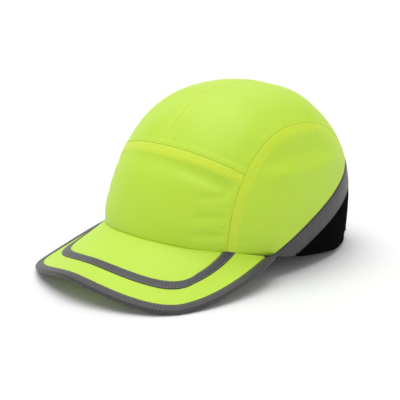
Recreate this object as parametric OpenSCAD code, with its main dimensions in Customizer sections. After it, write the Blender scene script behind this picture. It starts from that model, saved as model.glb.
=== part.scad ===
// Bump cap: a baseball-style fabric cap over a removable protective shell, with a
// reflective band, a black mesh rear and a hook-and-loop strap.
// The cap stands on a surface at z = 0 and faces -Y; +X is the wearer's left. Millimetres.

/* [Crown] */
// Greatest outside width of the crown
crown_w = 170; // [162:1:178]
// Depth of the crown from its widest line to the forehead
crown_front = 106; // [102:1:110]
// Depth of the crown from its widest line to the back of the head
crown_rear = 110; // [106:1:114]
// Height of the crown above its widest level
crown_h = 109; // [105:1:113]
// Thickness of the woven panels
cloth = 1.2; // [0.8:0.1:1.6]
// Distance of each side seam from the middle of the cap
seam_x = 67; // [62:1:70]
// Width of the sweatband
sweatband_w = 30; // [25:1:34]

/* [Brim] */
// Distance from the crown's widest line to the tip of the brim
brim_reach = 170; // [166:1:176]
// Thickness of the stiff board
board_t = 1.6; // [1.2:0.1:2]
// Width of the binding around the edge
binding_w = 7.2; // [6:0.2:9]
// Distance of the stripe from the edge
stripe_in = 23.6; // [22:0.2:26]
// Width of the stripe
stripe_w = 8.2; // [6:0.2:9]

/* [Rear] */
// Width of the arched opening, in degrees around the crown
opening_arc = 50; // [44:1:56]
// Height of the top of the arched opening above the surface
opening_top = 47; // [41:1:50]
// Width of the strap
strap_w = 20; // [18:1:22]

/* [Protective insert] */
// Thickness of the hard shell
shell_t = 2; // [1.6:0.1:2.4]
// Thickness of the foam pads
pad_t = 5; // [4:0.5:6]
// Space between the face of the cap and the shell
shell_in = 7.8; // [7.6:0.2:9]

/* [Hidden] */

// Colours
lime = [0.80, 0.95, 0.20];
grey = [0.36, 0.37, 0.38];
black = [0.07, 0.07, 0.08];
foam_grey = [0.22, 0.23, 0.25];
shell_black = [0.12, 0.12, 0.13];

// Shape of the crown: rounded-square exponents in plan and in height, and how it leans
plan_front = 2.2;
plan_rear = 2.55;
profile = 2.35;
lean = 0.088;
widen = 0.098;
narrow = 0.172;
// Where the crown's widest line is, from the middle of the cap and above the surface
crown_y = 27.7;
crown_z = 32.5;

// Height of the crown's lower edge: it is highest at the forehead and lowest at the nape
rim_mid = 15.1;
rim_tilt = 17.3;
rim_dip = 2.1;

// The front-top seam and the two edges of the reflective band lie in sloping planes:
// the height of each plane above the crown's middle, and its rise for each mm to the rear
front_seam = [45.2, -0.765];
band_top = [37.4, 0.5];
band_low = [18.9, 0.45];

// Spaces that keep neighbouring pieces apart
gap = 0.3;
seam_gap = 0.5;

// The brim's edge on the wearer's left, as two cubic curves: [across, from the crown's widest
// line, height]. The first runs from the tip to the corner, the second on to the crown
brim_corner = [81, 40 - brim_reach, 2.12];
brim_tip = [[0, -brim_reach, 17.5], [21.5, -brim_reach, 17.5], [69, 11 - brim_reach, 1], brim_corner];
brim_side = [brim_corner, [98, 82 - brim_reach, 3.6], [88, -23.5, 30]];
// Azimuth at which the edge of the brim meets the crown
brim_arc = 67;
// Depth of the hollow between the edge of the brim and the crown
brim_sag = 2.3;
// The brim is sewn on this far below the lower edge of the crown
brim_drop = 1.6;

// Layers of the strap, outwards from the face of the crown
strap_off = 1;
strap_t = 1;
patch_t = 0.5;
strap_low = 6.8;
strap_high = strap_low + strap_w;
// Azimuths of the sewn end of the strap, of its free end and of the ring's bar
strap_start = 146;
tail_end = 166;
ring_az = 207;
bar_r = 1.6;
bar_off = strap_off + strap_t + gap + bar_r;
ring_gap = 6;
ring_pitch = ring_gap + 2 * bar_r;
fold_in = bar_r + gap;

// Lower edge of the insert: height in the middle, and how it rises to the front and dips
insert_mid = 53.8;
insert_tilt = 9;
insert_dip = 7;
pad_in = shell_in + shell_t + 0.5;

// ---------- the crown's surface ----------

// Size of a point in the crown's own rounded measure; 1 is on the layer off mm outside the face
function plan(x, y, off) =
    let (b = (y < 0 ? crown_front : crown_rear) + off, p = y < 0 ? plan_front : plan_rear)
    pow(pow(abs(x) / (crown_w / 2 + off), p) + pow(abs(y) / b, p), 1 / p);
function level(u, off) =
    pow(pow(plan(u.x, u.y, off), profile) + pow(abs(u.z) / (crown_h + off), profile), 1 / profile);

// From the crown's own straight space to the leaning, tapering cap, and back
function place(u) =
    let (h = u.z / crown_h)
    [u.x * (1 + widen * h), crown_y + u.y * (1 - narrow * h) + lean * u.z, crown_z + u.z];
function unplace(v) =
    let (uz = v.z - crown_z, h = uz / crown_h)
    [v.x / (1 + widen * h), (v.y - crown_y - lean * uz) / (1 - narrow * h), uz];

// Point at an azimuth (0 is the front, 90 the wearer's left) and a height
function at_height(az, z, off) =
    let (
        uz = z - crown_z,
        r = pow(1 - pow(abs(uz) / (crown_h + off), profile), 1 / profile)
            / plan(sin(az), -cos(az), off)
    )
    place([r * sin(az), -r * cos(az), uz]);

// Point in a direction, given as azimuth and elevation
function at_angle(az, elevation, off) =
    let (d = [sin(az) * cos(elevation), -cos(az) * cos(elevation), sin(elevation)])
    place(d / level(d, off));

// Value between lo and hi where test changes from true to false
function edge_of(test, lo, hi, n = 16) =
    n == 0 ? (lo + hi) / 2
    : let (mid = (lo + hi) / 2) test(mid) ? edge_of(test, mid, hi, n - 1) : edge_of(test, lo, mid, n - 1);

function inside(v, off) = level(unplace(v), off) < 1;

// Point of the lengthways slice at x, at an angle up from the front
function at_slice(x, angle, off) =
    let (
        ray = function (r) [x, crown_y - r * cos(angle), crown_z + r * sin(angle)],
        r = edge_of(function (r) inside(ray(r), off), 20, 140)
    )
    ray(r);

// Point of the side wall at y and z
function at_side(y, z, off) = [edge_of(function (x) inside([x, y, z], off), 30, 110), y, z];

function rim(az) = rim_mid + rim_tilt * cos(az) + rim_dip * cos(2 * az);
function above(v, plane) = v.z - plane[0] - plane[1] * (v.y - crown_y);

// Height at which the face at an azimuth crosses a sloping plane
function plane_height(az, plane) =
    edge_of(function (z) above(at_height(az, z, 0), plane) < 0, rim(az) - 10, 110);
// Azimuth at which the lower edge of the crown crosses a sloping plane
function plane_rim(plane) = edge_of(function (az) above(at_height(az, rim(az), 0), plane) > 0, 40, 140);
// Azimuth at which the lower edge of the crown is x from the middle
function rim_at_x(x) = edge_of(function (az) at_height(az, rim(az), 0).x < x, 0, 80);

// Angle along a slice: at the lower edge, at the front-top seam and at the reflective band
function slice_rim(x) =
    let (v = at_height(rim_at_x(x), rim(rim_at_x(x)), 0)) atan2(v.z - crown_z, crown_y - v.y);
function slice_seam(x) = edge_of(function (a) above(at_slice(x, a, 0), front_seam) < 0, 0, 85);
function slice_band(x) = edge_of(function (a) above(at_slice(x, a, 0), band_top) > 0, 90, 175);

// Height of the arch's edge at an azimuth, and the rim where there is no arch
function arch(az, grow = 0) =
    let (
        half = opening_arc / 2 + grow / 2,
        t = min(1, abs(az - 180) / half),
        top = opening_top + grow
    )
    max(rim(az), rim(180) + (top - rim(180)) * sqrt(max(0, 1 - pow(t, 3))));

// ---------- grids and sheets ----------

function steps(lo, hi, n) = [for (i = [0:n]) lo + (hi - lo) * i / n];
// Steps that crowd together towards both ends
function eased(lo, hi, n) = [for (i = [0:n]) lo + (hi - lo) * (1 - cos(180 * i / n)) / 2];
function mixed(a, b, t) = a + (b - a) * t;

// Closed sheet between two grids of points. Rows run one way and columns the other; a ring's
// last column joins its first; pole holds the two points that close the top of a ring; and
// cells for which open(row, column) holds are left out as windows.
module sheet(outer, inner, ring = false, pole = [], open = function (i, j) false) {
    rows = len(outer);
    cols = len(outer[0]);
    cells = ring ? cols : cols - 1;
    grid = rows * cols;
    at = function (i, j) i * cols + (j + cols) % cols;
    kept = function (i, j)
        i >= 0 && i < rows - 1 && (ring || (j >= 0 && j < cells)) && !open(i, (j + cells) % cells);
    top = function (i, j) len(pole) > 0 && i == rows - 1;
    wall = function (a, b) [[a, b, b + grid], [a, b + grid, a + grid]];
    faces = concat(
        [for (i = [0:rows - 2], j = [0:cells - 1]) if (kept(i, j)) each [
            [at(i, j), at(i + 1, j), at(i + 1, j + 1)],
            [at(i, j), at(i + 1, j + 1), at(i, j + 1)],
            [grid + at(i, j), grid + at(i + 1, j + 1), grid + at(i + 1, j)],
            [grid + at(i, j), grid + at(i, j + 1), grid + at(i + 1, j + 1)]
        ]],
        [for (i = [0:rows - 2], j = [0:cells - 1]) if (kept(i, j)) each concat(
            kept(i - 1, j) ? [] : wall(at(i, j), at(i, j + 1)),
            kept(i + 1, j) || top(i + 1, j) ? [] : wall(at(i + 1, j + 1), at(i + 1, j)),
            kept(i, j - 1) ? [] : wall(at(i + 1, j), at(i, j)),
            kept(i, j + 1) ? [] : wall(at(i, j + 1), at(i + 1, j + 1))
        )],
        len(pole) == 0 ? [] : [for (j = [0:cells - 1]) each [
            [at(rows - 1, j), 2 * grid, at(rows - 1, j + 1)],
            [grid + at(rows - 1, j), grid + at(rows - 1, j + 1), 2 * grid + 1]
        ]]
    );
    polyhedron(concat([for (r = outer) each r], [for (r = inner) each r], pole), faces, convexity = 10);
}

// Sheet between two layers of a surface, where point(row, column, off) gives the surface
module layers(rows, cols, out, in, point) {
    sheet(
        [for (r = rows) [for (c = cols) point(r, c, out)]],
        [for (r = rows) [for (c = cols) point(r, c, in)]]
    );
}

// Patch between two azimuths and two elevations
module angle_patch(azimuths, elevations, out, in) {
    layers(elevations, azimuths, out, in, function (e, a, off) at_angle(a, e, off));
}

// Band around the crown: low(az) and high(az) give its edges
module height_band(azimuths, n, low, high, out, in) {
    layers(
        steps(0, 1, n), azimuths, out, in,
        function (t, az, off) at_height(az, mixed(low(az), high(az), t), off)
    );
}

module mirrored(left) {
    if (left) children(); else mirror([1, 0, 0]) children();
}

// ---------- crown ----------

module front_panel() {
    // Seen from the front, the panel runs from the lower edge up to the front-top seam
    half = seam_x - gap;
    xs = steps(-half, half, 18);
    low = [for (x = xs) slice_rim(abs(x))];
    high = [for (x = xs) slice_seam(x) - gap / 2];
    color(lime) layers(
        steps(0, 1, 9), [for (j = [0:len(xs) - 1]) j], 0, -cloth,
        function (t, j, off) at_slice(xs[j], mixed(low[j], high[j], t), off)
    );
}

module front_stiffener() {
    half = seam_x - 12;
    xs = steps(-half, half, 12);
    clear_of_band = function (x, a) at_slice(x, a, 0).z > rim(rim_at_x(abs(x))) + sweatband_w + 1;
    low = [for (x = xs) edge_of(function (a) !clear_of_band(x, a), 0, 60)];
    high = [for (x = xs) slice_seam(x) - 5];
    color("white") layers(
        steps(0, 1, 6), [for (j = [0:len(xs) - 1]) j], -cloth - gap, -cloth - gap - 0.8,
        function (t, j, off) at_slice(xs[j], mixed(low[j], high[j], t), off)
    );
}

module top_panel(left) {
    xs = steps(gap, seam_x - gap, 9);
    front = [for (x = xs) slice_seam(x) + gap / 2];
    rear = [for (x = xs) slice_band(x) - seam_gap];
    color(lime) mirrored(left) layers(
        steps(0, 1, 18), [for (j = [0:len(xs) - 1]) j], 0, -cloth,
        function (t, j, off) at_slice(xs[j], mixed(front[j], rear[j], t), off)
    );
}

module side_panel(left) {
    // The lower boundary follows the lower edge of the crown, then the reflective band; the
    // upper boundary is the side seam
    x = seam_x + gap;
    corner = rim_at_x(x) + gap;
    meet = plane_rim(band_top);
    rear = slice_band(x) - 1;
    front = slice_rim(x) + 1;
    tip = edge_of(function (az) at_height(az, plane_height(az, band_top), 0).x > x, 90, 170) - 0.7;
    turn = 0.3;
    ss = eased(0, 1, 24);
    low = function (s, off)
        s < turn
        ? let (az = mixed(corner, meet, s / turn)) at_height(az, rim(az), off)
        : let (az = mixed(meet, tip, (s - turn) / (1 - turn)))
          at_height(az, plane_height(az, band_top) + gap, off);
    high = function (s, off) at_slice(x, mixed(front, rear, s), off);
    grid = function (off)
        let (lows = [for (s = ss) low(s, off)], highs = [for (s = ss) high(s, off)])
        [for (t = steps(0, 1, 8)) [for (j = [0:len(ss) - 1])
            let (v = mixed(lows[j], highs[j], t)) at_side(v.y, v.z, off)]];
    color(lime) mirrored(left) sheet(grid(0), grid(-cloth));
}

module reflective_band() {
    start = plane_rim(band_top) + 1;
    azimuths = steps(start, 360 - start, 60);
    tops = [for (az = azimuths) plane_height(az, band_top) - gap / 2];
    lows = [for (az = azimuths) max(rim(az), plane_height(az, band_low) + gap / 2)];
    color(grey) layers(
        steps(0, 1, 2), [for (j = [0:60]) j], gap, -cloth,
        function (t, j, off) at_height(azimuths[j], mixed(lows[j], tops[j], t), off)
    );
}

module rear_mesh_panel() {
    start = plane_rim(band_low) + 1;
    side = 180 - opening_arc / 2 - 4.5;
    azimuths = concat(
        steps(start, side, 9),
        [for (a = eased(side, 360 - side, 20)) if (a > side && a < 360 - side) a],
        steps(360 - side, 360 - start, 9)
    );
    last = len(azimuths) - 1;
    tops = [for (az = azimuths) plane_height(az, band_low) - gap / 2];
    lows = [for (az = azimuths) arch(az, 8 + 2 * gap)];
    color(black) layers(
        steps(0, 1, 6), [for (j = [0:last]) j], 0, -cloth,
        function (t, j, off) at_height(azimuths[j], mixed(lows[j], tops[j], t), off)
    );
}

module opening_binding() {
    // Folded tape around the arch: it runs between two arches 8 mm apart
    half = opening_arc / 2 + 3.7;
    azimuths = eased(180 - half, 180 + half, 32);
    color(black) layers(
        steps(0, 1, 2), azimuths, 0.4, -1.6,
        function (t, az, off)
            let (a = 180 + (az - 180) * mixed(opening_arc / 2, half, t) / half)
            at_height(a, mixed(arch(a), arch(a, 8), t), off)
    );
}

// Tape over a lengthways seam, inside the crown, centred x from the middle
module seam_tape(x, width) {
    face = -cloth - seam_gap;
    first = slice_seam(x) + 1;
    last = slice_band(x) - 3;
    color(grey) layers(
        steps(first, last, 18), steps(x - width / 2, x + width / 2, 2),
        face, face - 0.7,
        function (a, across, off) at_slice(across, a, off)
    );
}

module sweatband() {
    reach = 180 - opening_arc / 2 - 5;
    face = -cloth - seam_gap;
    color(foam_grey) height_band(
        steps(-reach, reach, 46), 4,
        function (az) rim(az) + 0.4, function (az) rim(az) + sweatband_w,
        face, face - 2
    );
}

// ---------- brim ----------

function cubic(p, t) =
    pow(1 - t, 3) * p[0] + 3 * pow(1 - t, 2) * t * p[1] + 3 * (1 - t) * t * t * p[2] + pow(t, 3) * p[3];

// Edge of the brim: s runs from -1, on the wearer's right, over 0 at the tip, to 1
function brim_edge(s) =
    let (
        end = brim_root(1) - [0, crown_y, 0],
        t = abs(s) * 2,
        p = t < 1 ? cubic(brim_tip, t) : cubic(concat(brim_side, [end]), t - 1)
    )
    [s < 0 ? -p.x : p.x, p.y + crown_y, p.z];
function brim_root(s) = at_height(brim_arc * s, rim(brim_arc * s), gap) - [0, 0, brim_drop];
// Share of the way from the edge to the root that lies d mm in from the edge
function brim_share(s, d) =
    let (
        across = brim_root(s) - brim_edge(s),
        along = brim_edge(s + 0.01) - brim_edge(s - 0.01),
        width = norm(cross(across, along)) / norm(along)
    )
    d / width;
// Shares over 0.8 are drawn in, so that none passes the root
function held(share) = share < 0.8 ? share : 1 - 0.04 / (share - 0.6);
// Middle surface of the brim at a share of the way to the root, raised by lift
function brim_point(s, share, lift) =
    let (h = held(share)) mixed(brim_edge(s), brim_root(s), h) + [0, 0, lift - 4 * brim_sag * h * (1 - h)];

// Layer of the brim from in mm within the edge to the root, between two heights, up to s = end
module brim_layer(in, low, high, end) {
    ss = steps(-end, end, 40);
    shares = [for (s = ss) brim_share(s, in)];
    sheet(
        [for (t = steps(0, 1, 8)) [for (j = [0:40]) brim_point(ss[j], mixed(shares[j], 1, t), high)]],
        [for (t = steps(0, 1, 8)) [for (j = [0:40]) brim_point(ss[j], mixed(shares[j], 1, t), low)]]
    );
}

cover_low = board_t / 2 + 0.1;
cover_high = cover_low + 0.5;
module brim_board() color("white") brim_layer(2, -board_t / 2, board_t / 2, 0.8);
module brim_top_cover() color(lime) brim_layer(binding_w + 0.3, cover_low, cover_high, 0.86);
module brim_under_cover() color(lime) brim_layer(binding_w + 0.3, -cover_high, -cover_low, 0.86);

// Half of the space inside the folded binding, and its cross-section: [distance in from the
// edge, height]
fold_half = 1.7;
function fold_line(grow) = concat(
    [for (d = [binding_w, binding_w / 2, 1.6]) [d, -fold_half - grow]],
    [for (a = [-60:30:60]) [0.8 - (0.8 + grow) * cos(a), (fold_half + grow) * sin(a)]],
    [for (d = [1.6, binding_w / 2, binding_w]) [d, fold_half + grow]]
);
module brim_binding() {
    ss = steps(-0.965, 0.965, 64);
    layers(
        [for (k = [0:len(fold_line(0)) - 1]) k], ss, 0.7, 0,
        function (k, s, grow)
            let (p = fold_line(grow)[k]) brim_point(s, brim_share(s, p.x), p.y)
    );
}

module brim_stripe() {
    // Laid on the top cover, up to where it meets the crown
    last = edge_of(function (s) brim_share(s, stripe_in + stripe_w) < 1, 0.4, 0.9) - 0.005;
    layers(
        steps(stripe_in, stripe_in + stripe_w, 2), steps(-last, last, 48),
        cover_high + 0.4, cover_high + 0.05,
        function (d, s, lift) brim_point(s, brim_share(s, d), lift)
    );
}

// ---------- strap ----------

// Place of the ring's bar, and the direction along the strap there
ring_z = (strap_low + strap_high) / 2;
bar_at = at_height(ring_az, ring_z, bar_off);
strap_way = at_height(ring_az - 1, ring_z, bar_off) - at_height(ring_az + 1, ring_z, bar_off);
ring_turn = atan2(strap_way.y, strap_way.x);
// Local frame at the bar: x along the strap to its sewn end, y outwards, z up
module at_bar() translate([bar_at.x, bar_at.y, 0]) rotate([0, 0, ring_turn]) children();

module strap_layer(first, last, n, low, high, out, in) {
    height_band(steps(first, last, n), 2, function (az) low, function (az) high, out, in);
}

module strap() {
    color(black)
        strap_layer(strap_start, ring_az - 0.8, 24, strap_low, strap_high, strap_off + strap_t, strap_off);
}

loop_off = strap_off + strap_t + 0.1;
module strap_loop_patch() {
    color(foam_grey) strap_layer(
        tail_end - 1, ring_az - 8, 14, strap_low + 2, strap_high - 2, loop_off + patch_t, loop_off
    );
}

// The free end starts outside the ring's bar and comes down onto the strap
hook_off = loop_off + patch_t + 0.1;
tail_off = hook_off + patch_t + 0.1;
tail_lift = bar_off + fold_in - tail_off;
function tail_rise(az) = let (t = max(0, 1 - (ring_az - az) / 12)) tail_lift * t * t * (3 - 2 * t);
module strap_tail() {
    color(black) layers(
        [strap_low, (strap_low + strap_high) / 2, strap_high], steps(tail_end, ring_az - 0.9, 24),
        tail_off + strap_t, tail_off,
        function (z, az, off) at_height(az, z, off + tail_rise(az))
    );
}

module strap_hook_patch() {
    color(foam_grey) strap_layer(
        tail_end + 1, tail_end + 16, 8, strap_low + 2, strap_high - 2, hook_off + patch_t, hook_off
    );
}

// Half a turn of webbing around the bar nearer the strap
module strap_fold() {
    color(black) at_bar() translate([0, 0, strap_low]) linear_extrude(strap_w) difference() {
        circle(fold_in + strap_t, $fn = 48);
        circle(fold_in, $fn = 48);
        translate([0.01, -10]) square([10, 20]);
    }
}

// Rectangular ring of round plastic bar
module adjuster_ring() {
    low = strap_low - 1 - bar_r;
    high = strap_high + 1 + bar_r;
    color(shell_black) at_bar() {
        for (x = [0, -ring_pitch]) translate([x, 0, low]) cylinder(h = high - low, r = bar_r, $fn = 32);
        for (z = [low, high]) translate([-ring_pitch, 0, z]) {
            rotate([0, 90, 0]) cylinder(h = ring_pitch, r = bar_r, $fn = 32);
            for (x = [0, ring_pitch]) translate([x, 0, 0]) sphere(r = bar_r, $fn = 32);
        }
    }
}

// Outline in plan of a strip of the given thickness along a path
function side_of(path, i) =
    let (way = path[min(i + 1, len(path) - 1)] - path[max(i - 1, 0)]) [way.y, -way.x] / norm(way);
module strip(path, thick) {
    count = [for (i = [0:len(path) - 1]) i];
    polygon(concat(
        [for (i = count) path[i] + side_of(path, i) * thick / 2],
        [for (i = count) let (k = len(path) - 1 - i) path[k] - side_of(path, k) * thick / 2]
    ));
}

// Webbing looped through the ring and sewn to the mesh panel
module ring_tab() {
    thick = 0.8;
    loop = bar_r + gap + thick / 2;
    far_bar = [bar_at.x, bar_at.y] - ring_pitch * [cos(ring_turn), sin(ring_turn)];
    // Point of a leg, off mm outside the face, d degrees beyond the far bar
    leg = function (d, off) let (v = at_height(ring_az + 5 + d, ring_z, off)) [v.x, v.y];
    path = concat(
        [for (d = [14, 11, 8, 5]) leg(d, 1.6)],
        [for (a = [-100:20:100]) far_bar + loop * [cos(ring_turn + a), sin(ring_turn + a)]],
        [leg(4, 4.6), leg(6.5, 3.4), leg(9, 2.7), leg(12, 2.7)]
    );
    color(black) translate([0, 0, strap_low]) linear_extrude(strap_w) strip(path, thick);
}

// ---------- protective insert ----------

function insert_rim(az) = insert_mid + insert_tilt * cos(az) + insert_dip * cos(2 * az);
// Elevation of the insert's lower edge
function insert_angle(az) =
    edge_of(function (e) at_angle(az, e, -shell_in).z < insert_rim(az), -20, 60);

module insert_shell() {
    cols = 48;
    rows = 12;
    azimuths = [for (j = [0:cols - 1]) 360 * j / cols];
    low = [for (az = azimuths) insert_angle(az)];
    grid = function (off) [for (i = [0:rows]) [for (j = [0:cols - 1])
        at_angle(azimuths[j], mixed(low[j], 84, i / rows), off)]];
    out = -shell_in;
    in = -shell_in - shell_t;
    // Three rows of ventilation windows, with ribs between them
    vent = function (i, j) (i == 4 && j % 4 == 1) || (i == 6 && j % 4 == 3) || (i == 8 && j % 8 == 1);
    color(shell_black) sheet(
        grid(out), grid(in), ring = true, pole = [at_angle(0, 90, out), at_angle(0, 90, in)], open = vent
    );
}

// Foam pad between two azimuths, from just above the shell's lower edge up to an elevation
module wall_pad(first, last, high) {
    azimuths = steps(first, last, 8);
    low = [for (az = azimuths) insert_angle(az) + 1];
    color(foam_grey) layers(
        steps(0, 1, 5), [for (j = [0:8]) j], -pad_in, -pad_in - pad_t,
        function (t, j, off) at_angle(azimuths[j], mixed(low[j], high, t), off)
    );
}
module pad_crown() {
    cols = 32;
    rings = [58, 66, 74, 82];
    grid = function (off) [for (e = rings) [for (j = [0:cols - 1]) at_angle(360 * j / cols, e, off)]];
    color(foam_grey) sheet(
        grid(-pad_in), grid(-pad_in - pad_t), ring = true,
        pole = [at_angle(0, 90, -pad_in), at_angle(0, 90, -pad_in - pad_t)]
    );
}

front_panel();
front_stiffener();
top_panel(true);  // top_panel_left
top_panel(false);  // top_panel_right
side_panel(true);  // side_panel_left
side_panel(false);  // side_panel_right
reflective_band();
rear_mesh_panel();
opening_binding();
seam_tape(0, 14);  // centre_seam_tape
seam_tape(seam_x - 4, 10);  // seam_tape_left
mirror([1, 0, 0]) seam_tape(seam_x - 4, 10);  // seam_tape_right
sweatband();
brim_board();
brim_top_cover();
brim_under_cover();
color(grey) brim_binding();
color(grey) brim_stripe();
strap();
strap_loop_patch();
strap_tail();
strap_hook_patch();
strap_fold();
adjuster_ring();
ring_tab();
insert_shell();
wall_pad(-32, 32, 50);  // pad_front
pad_crown();
wall_pad(148, 212, 50);  // pad_rear
wall_pad(58, 122, 50);  // pad_left
wall_pad(-122, -58, 50);  // pad_right
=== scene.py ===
"""Looks for the bump cap: cloth panels, tapes, stitching, brim, strap and the padded insert.

Geometry is worked out in millimetres on the same crown and brim surfaces as the CAD model,
and turned into metres when a mesh is made. The cap faces -Y and +X is the wearer's left.
"""

import math

import bpy
import numpy as np
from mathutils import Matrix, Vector
from mathutils.kdtree import KDTree


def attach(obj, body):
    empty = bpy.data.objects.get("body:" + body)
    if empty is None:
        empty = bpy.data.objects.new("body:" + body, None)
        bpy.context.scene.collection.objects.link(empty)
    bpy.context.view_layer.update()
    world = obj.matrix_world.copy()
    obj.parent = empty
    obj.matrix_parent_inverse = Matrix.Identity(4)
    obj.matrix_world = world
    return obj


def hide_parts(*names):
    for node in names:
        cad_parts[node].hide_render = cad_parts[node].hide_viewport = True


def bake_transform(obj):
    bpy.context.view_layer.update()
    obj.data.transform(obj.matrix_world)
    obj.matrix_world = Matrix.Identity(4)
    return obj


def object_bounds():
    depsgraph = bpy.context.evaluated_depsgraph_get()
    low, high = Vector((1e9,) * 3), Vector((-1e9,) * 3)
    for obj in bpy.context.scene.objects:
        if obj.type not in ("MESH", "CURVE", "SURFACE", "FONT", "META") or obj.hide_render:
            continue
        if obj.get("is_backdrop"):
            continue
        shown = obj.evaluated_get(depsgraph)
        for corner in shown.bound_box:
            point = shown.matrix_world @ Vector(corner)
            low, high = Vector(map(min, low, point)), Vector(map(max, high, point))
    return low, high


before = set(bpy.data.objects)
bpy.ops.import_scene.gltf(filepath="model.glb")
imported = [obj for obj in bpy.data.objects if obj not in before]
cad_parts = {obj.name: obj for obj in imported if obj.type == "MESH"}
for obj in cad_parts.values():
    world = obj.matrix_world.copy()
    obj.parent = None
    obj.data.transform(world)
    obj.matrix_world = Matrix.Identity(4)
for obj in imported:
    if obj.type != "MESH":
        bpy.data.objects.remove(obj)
cad_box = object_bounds()

MM = 0.001

# ---------- driving sizes, as in the CAD model ----------

CROWN_HALF = 85.0
CROWN_FRONT = 106.0
CROWN_REAR = 110.0
CROWN_H = 109.0
PLAN_FRONT = 2.2
PLAN_REAR = 2.55
PROFILE = 2.35
LEAN = 0.088
WIDEN = 0.098
NARROW = 0.172
CROWN_Y = 27.7
CROWN_Z = 32.5
RIM_MID, RIM_TILT, RIM_DIP = 15.1, 17.3, 2.1
SEAM_X = 67.0
FRONT_SEAM = (45.2, -0.765)
BAND_TOP = (37.4, 0.5)
BAND_LOW = (18.9, 0.45)
CLOTH = 1.2
BRIM_ARC = 67.0
BRIM_REACH = 170.0
BRIM_SAG = 2.3
BRIM_DROP = 1.6
BINDING_W = 7.2
STRIPE_IN = 23.6
STRIPE_W = 8.2
OPENING_ARC = 50.0
OPENING_TOP = 47.0
STRAP_LOW, STRAP_HIGH = 6.8, 26.8
RING_AZ = 207.0
BAR_R = 1.6
RING_PITCH = 9.2
BAR_OFF = 3.9
SHELL_IN = 7.8
SHELL_T = 2.0
PAD_T = 5.0

# ---------- the crown's surface ----------


def plan_size(x, y, off):
    """1 where x, y is on the plan outline of the layer off mm outside the crown's face."""
    front = y < 0
    depth = np.where(front, CROWN_FRONT, CROWN_REAR) + off
    power = np.where(front, PLAN_FRONT, PLAN_REAR)
    return ((np.abs(x) / (CROWN_HALF + off)) ** power + (np.abs(y) / depth) ** power) ** (1 / power)


def level(u, off):
    """1 on the layer off mm outside the crown's face, less inside it."""
    plan = plan_size(u[..., 0], u[..., 1], off)
    return (plan**PROFILE + (np.abs(u[..., 2]) / (CROWN_H + off)) ** PROFILE) ** (1 / PROFILE)


def place(u):
    """Leans and tapers the plain crown into its real place."""
    h = u[..., 2] / CROWN_H
    x = u[..., 0] * (1 + WIDEN * h)
    y = CROWN_Y + u[..., 1] * (1 - NARROW * h) + LEAN * u[..., 2]
    return np.stack([x, y, CROWN_Z + u[..., 2]], -1)


def unplace(v):
    uz = v[..., 2] - CROWN_Z
    h = uz / CROWN_H
    y = (v[..., 1] - CROWN_Y - LEAN * uz) / (1 - NARROW * h)
    return np.stack([v[..., 0] / (1 + WIDEN * h), y, uz], -1)


def normal(v):
    """Outward unit normal of the crown at points near its face."""
    steps = 0.2 * np.eye(3)
    grad = np.stack([level(unplace(v + e), 0) - level(unplace(v - e), 0) for e in steps], -1)
    return grad / np.linalg.norm(grad, axis=-1, keepdims=True)


def at_height(az, z, off=0.0):
    """Point of a layer at an azimuth in degrees (0 front, 90 the wearer's left) and a height."""
    a = np.radians(np.asarray(az, float))
    uz = np.asarray(z, float) - CROWN_Z
    r = (1 - (np.abs(uz) / (CROWN_H + off)) ** PROFILE) ** (1 / PROFILE)
    r = r / plan_size(np.sin(a), -np.cos(a), off)
    return place(np.stack([r * np.sin(a), -r * np.cos(a), uz + 0 * a], -1))


def at_angle(az, elevation, off=0.0):
    a, e = np.radians(az), np.radians(elevation)
    d = np.stack([np.sin(a) * np.cos(e), -np.cos(a) * np.cos(e), np.sin(e) + 0 * a], -1)
    return place(d / level(d, off)[..., None])


def bisect(test, lo, hi):
    """Elementwise value between lo and hi where test changes from True to False."""
    lo, hi = np.asarray(lo, float), np.asarray(hi, float)
    for _ in range(26):
        mid = (lo + hi) / 2
        yes = test(mid)
        lo, hi = np.where(yes, mid, lo), np.where(yes, hi, mid)
    return (lo + hi) / 2


def at_slice(x, angle, off=0.0):
    """Point of the lengthways slice at x, at an angle up from the front."""
    x, angle = np.broadcast_arrays(np.asarray(x, float), np.asarray(angle, float))
    a = np.radians(angle)

    def ray(r):
        return np.stack([x, CROWN_Y - r * np.cos(a), CROWN_Z + r * np.sin(a)], -1)

    return ray(bisect(lambda r: level(unplace(ray(r)), off) < 1, 20 + 0 * a, 140 + 0 * a))


def at_side(y, z, off=0.0):
    y, z = np.broadcast_arrays(np.asarray(y, float), np.asarray(z, float))
    x = bisect(lambda q: level(unplace(np.stack([q, y, z], -1)), off) < 1, 30 + 0 * y, 110 + 0 * y)
    return np.stack([x, y, z], -1)


def rim(az):
    a = np.radians(az)
    return RIM_MID + RIM_TILT * np.cos(a) + RIM_DIP * np.cos(2 * a)


def above(v, plane):
    return v[..., 2] - plane[0] - plane[1] * (v[..., 1] - CROWN_Y)


def plane_height(az, plane):
    az = np.asarray(az, float)
    return bisect(lambda z: above(at_height(az, z), plane) < 0, rim(az) - 10, 110 + 0 * az)


def plane_rim(plane):
    return float(bisect(lambda az: above(at_height(az, rim(az)), plane) > 0, 40.0, 140.0))


def rim_at_x(x):
    x = np.asarray(x, float)
    return bisect(lambda az: at_height(az, rim(az))[..., 0] < x, 0 * x, 80 + 0 * x)


def slice_rim(x):
    az = rim_at_x(np.abs(x))
    v = at_height(az, rim(az))
    return np.degrees(np.arctan2(v[..., 2] - CROWN_Z, CROWN_Y - v[..., 1]))


def slice_seam(x):
    x = np.asarray(x, float)
    return bisect(lambda a: above(at_slice(x, a), FRONT_SEAM) < 0, 0 * x, 85 + 0 * x)


def slice_band(x):
    x = np.asarray(x, float)
    return bisect(lambda a: above(at_slice(x, a), BAND_TOP) > 0, 90 + 0 * x, 175 + 0 * x)


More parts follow.
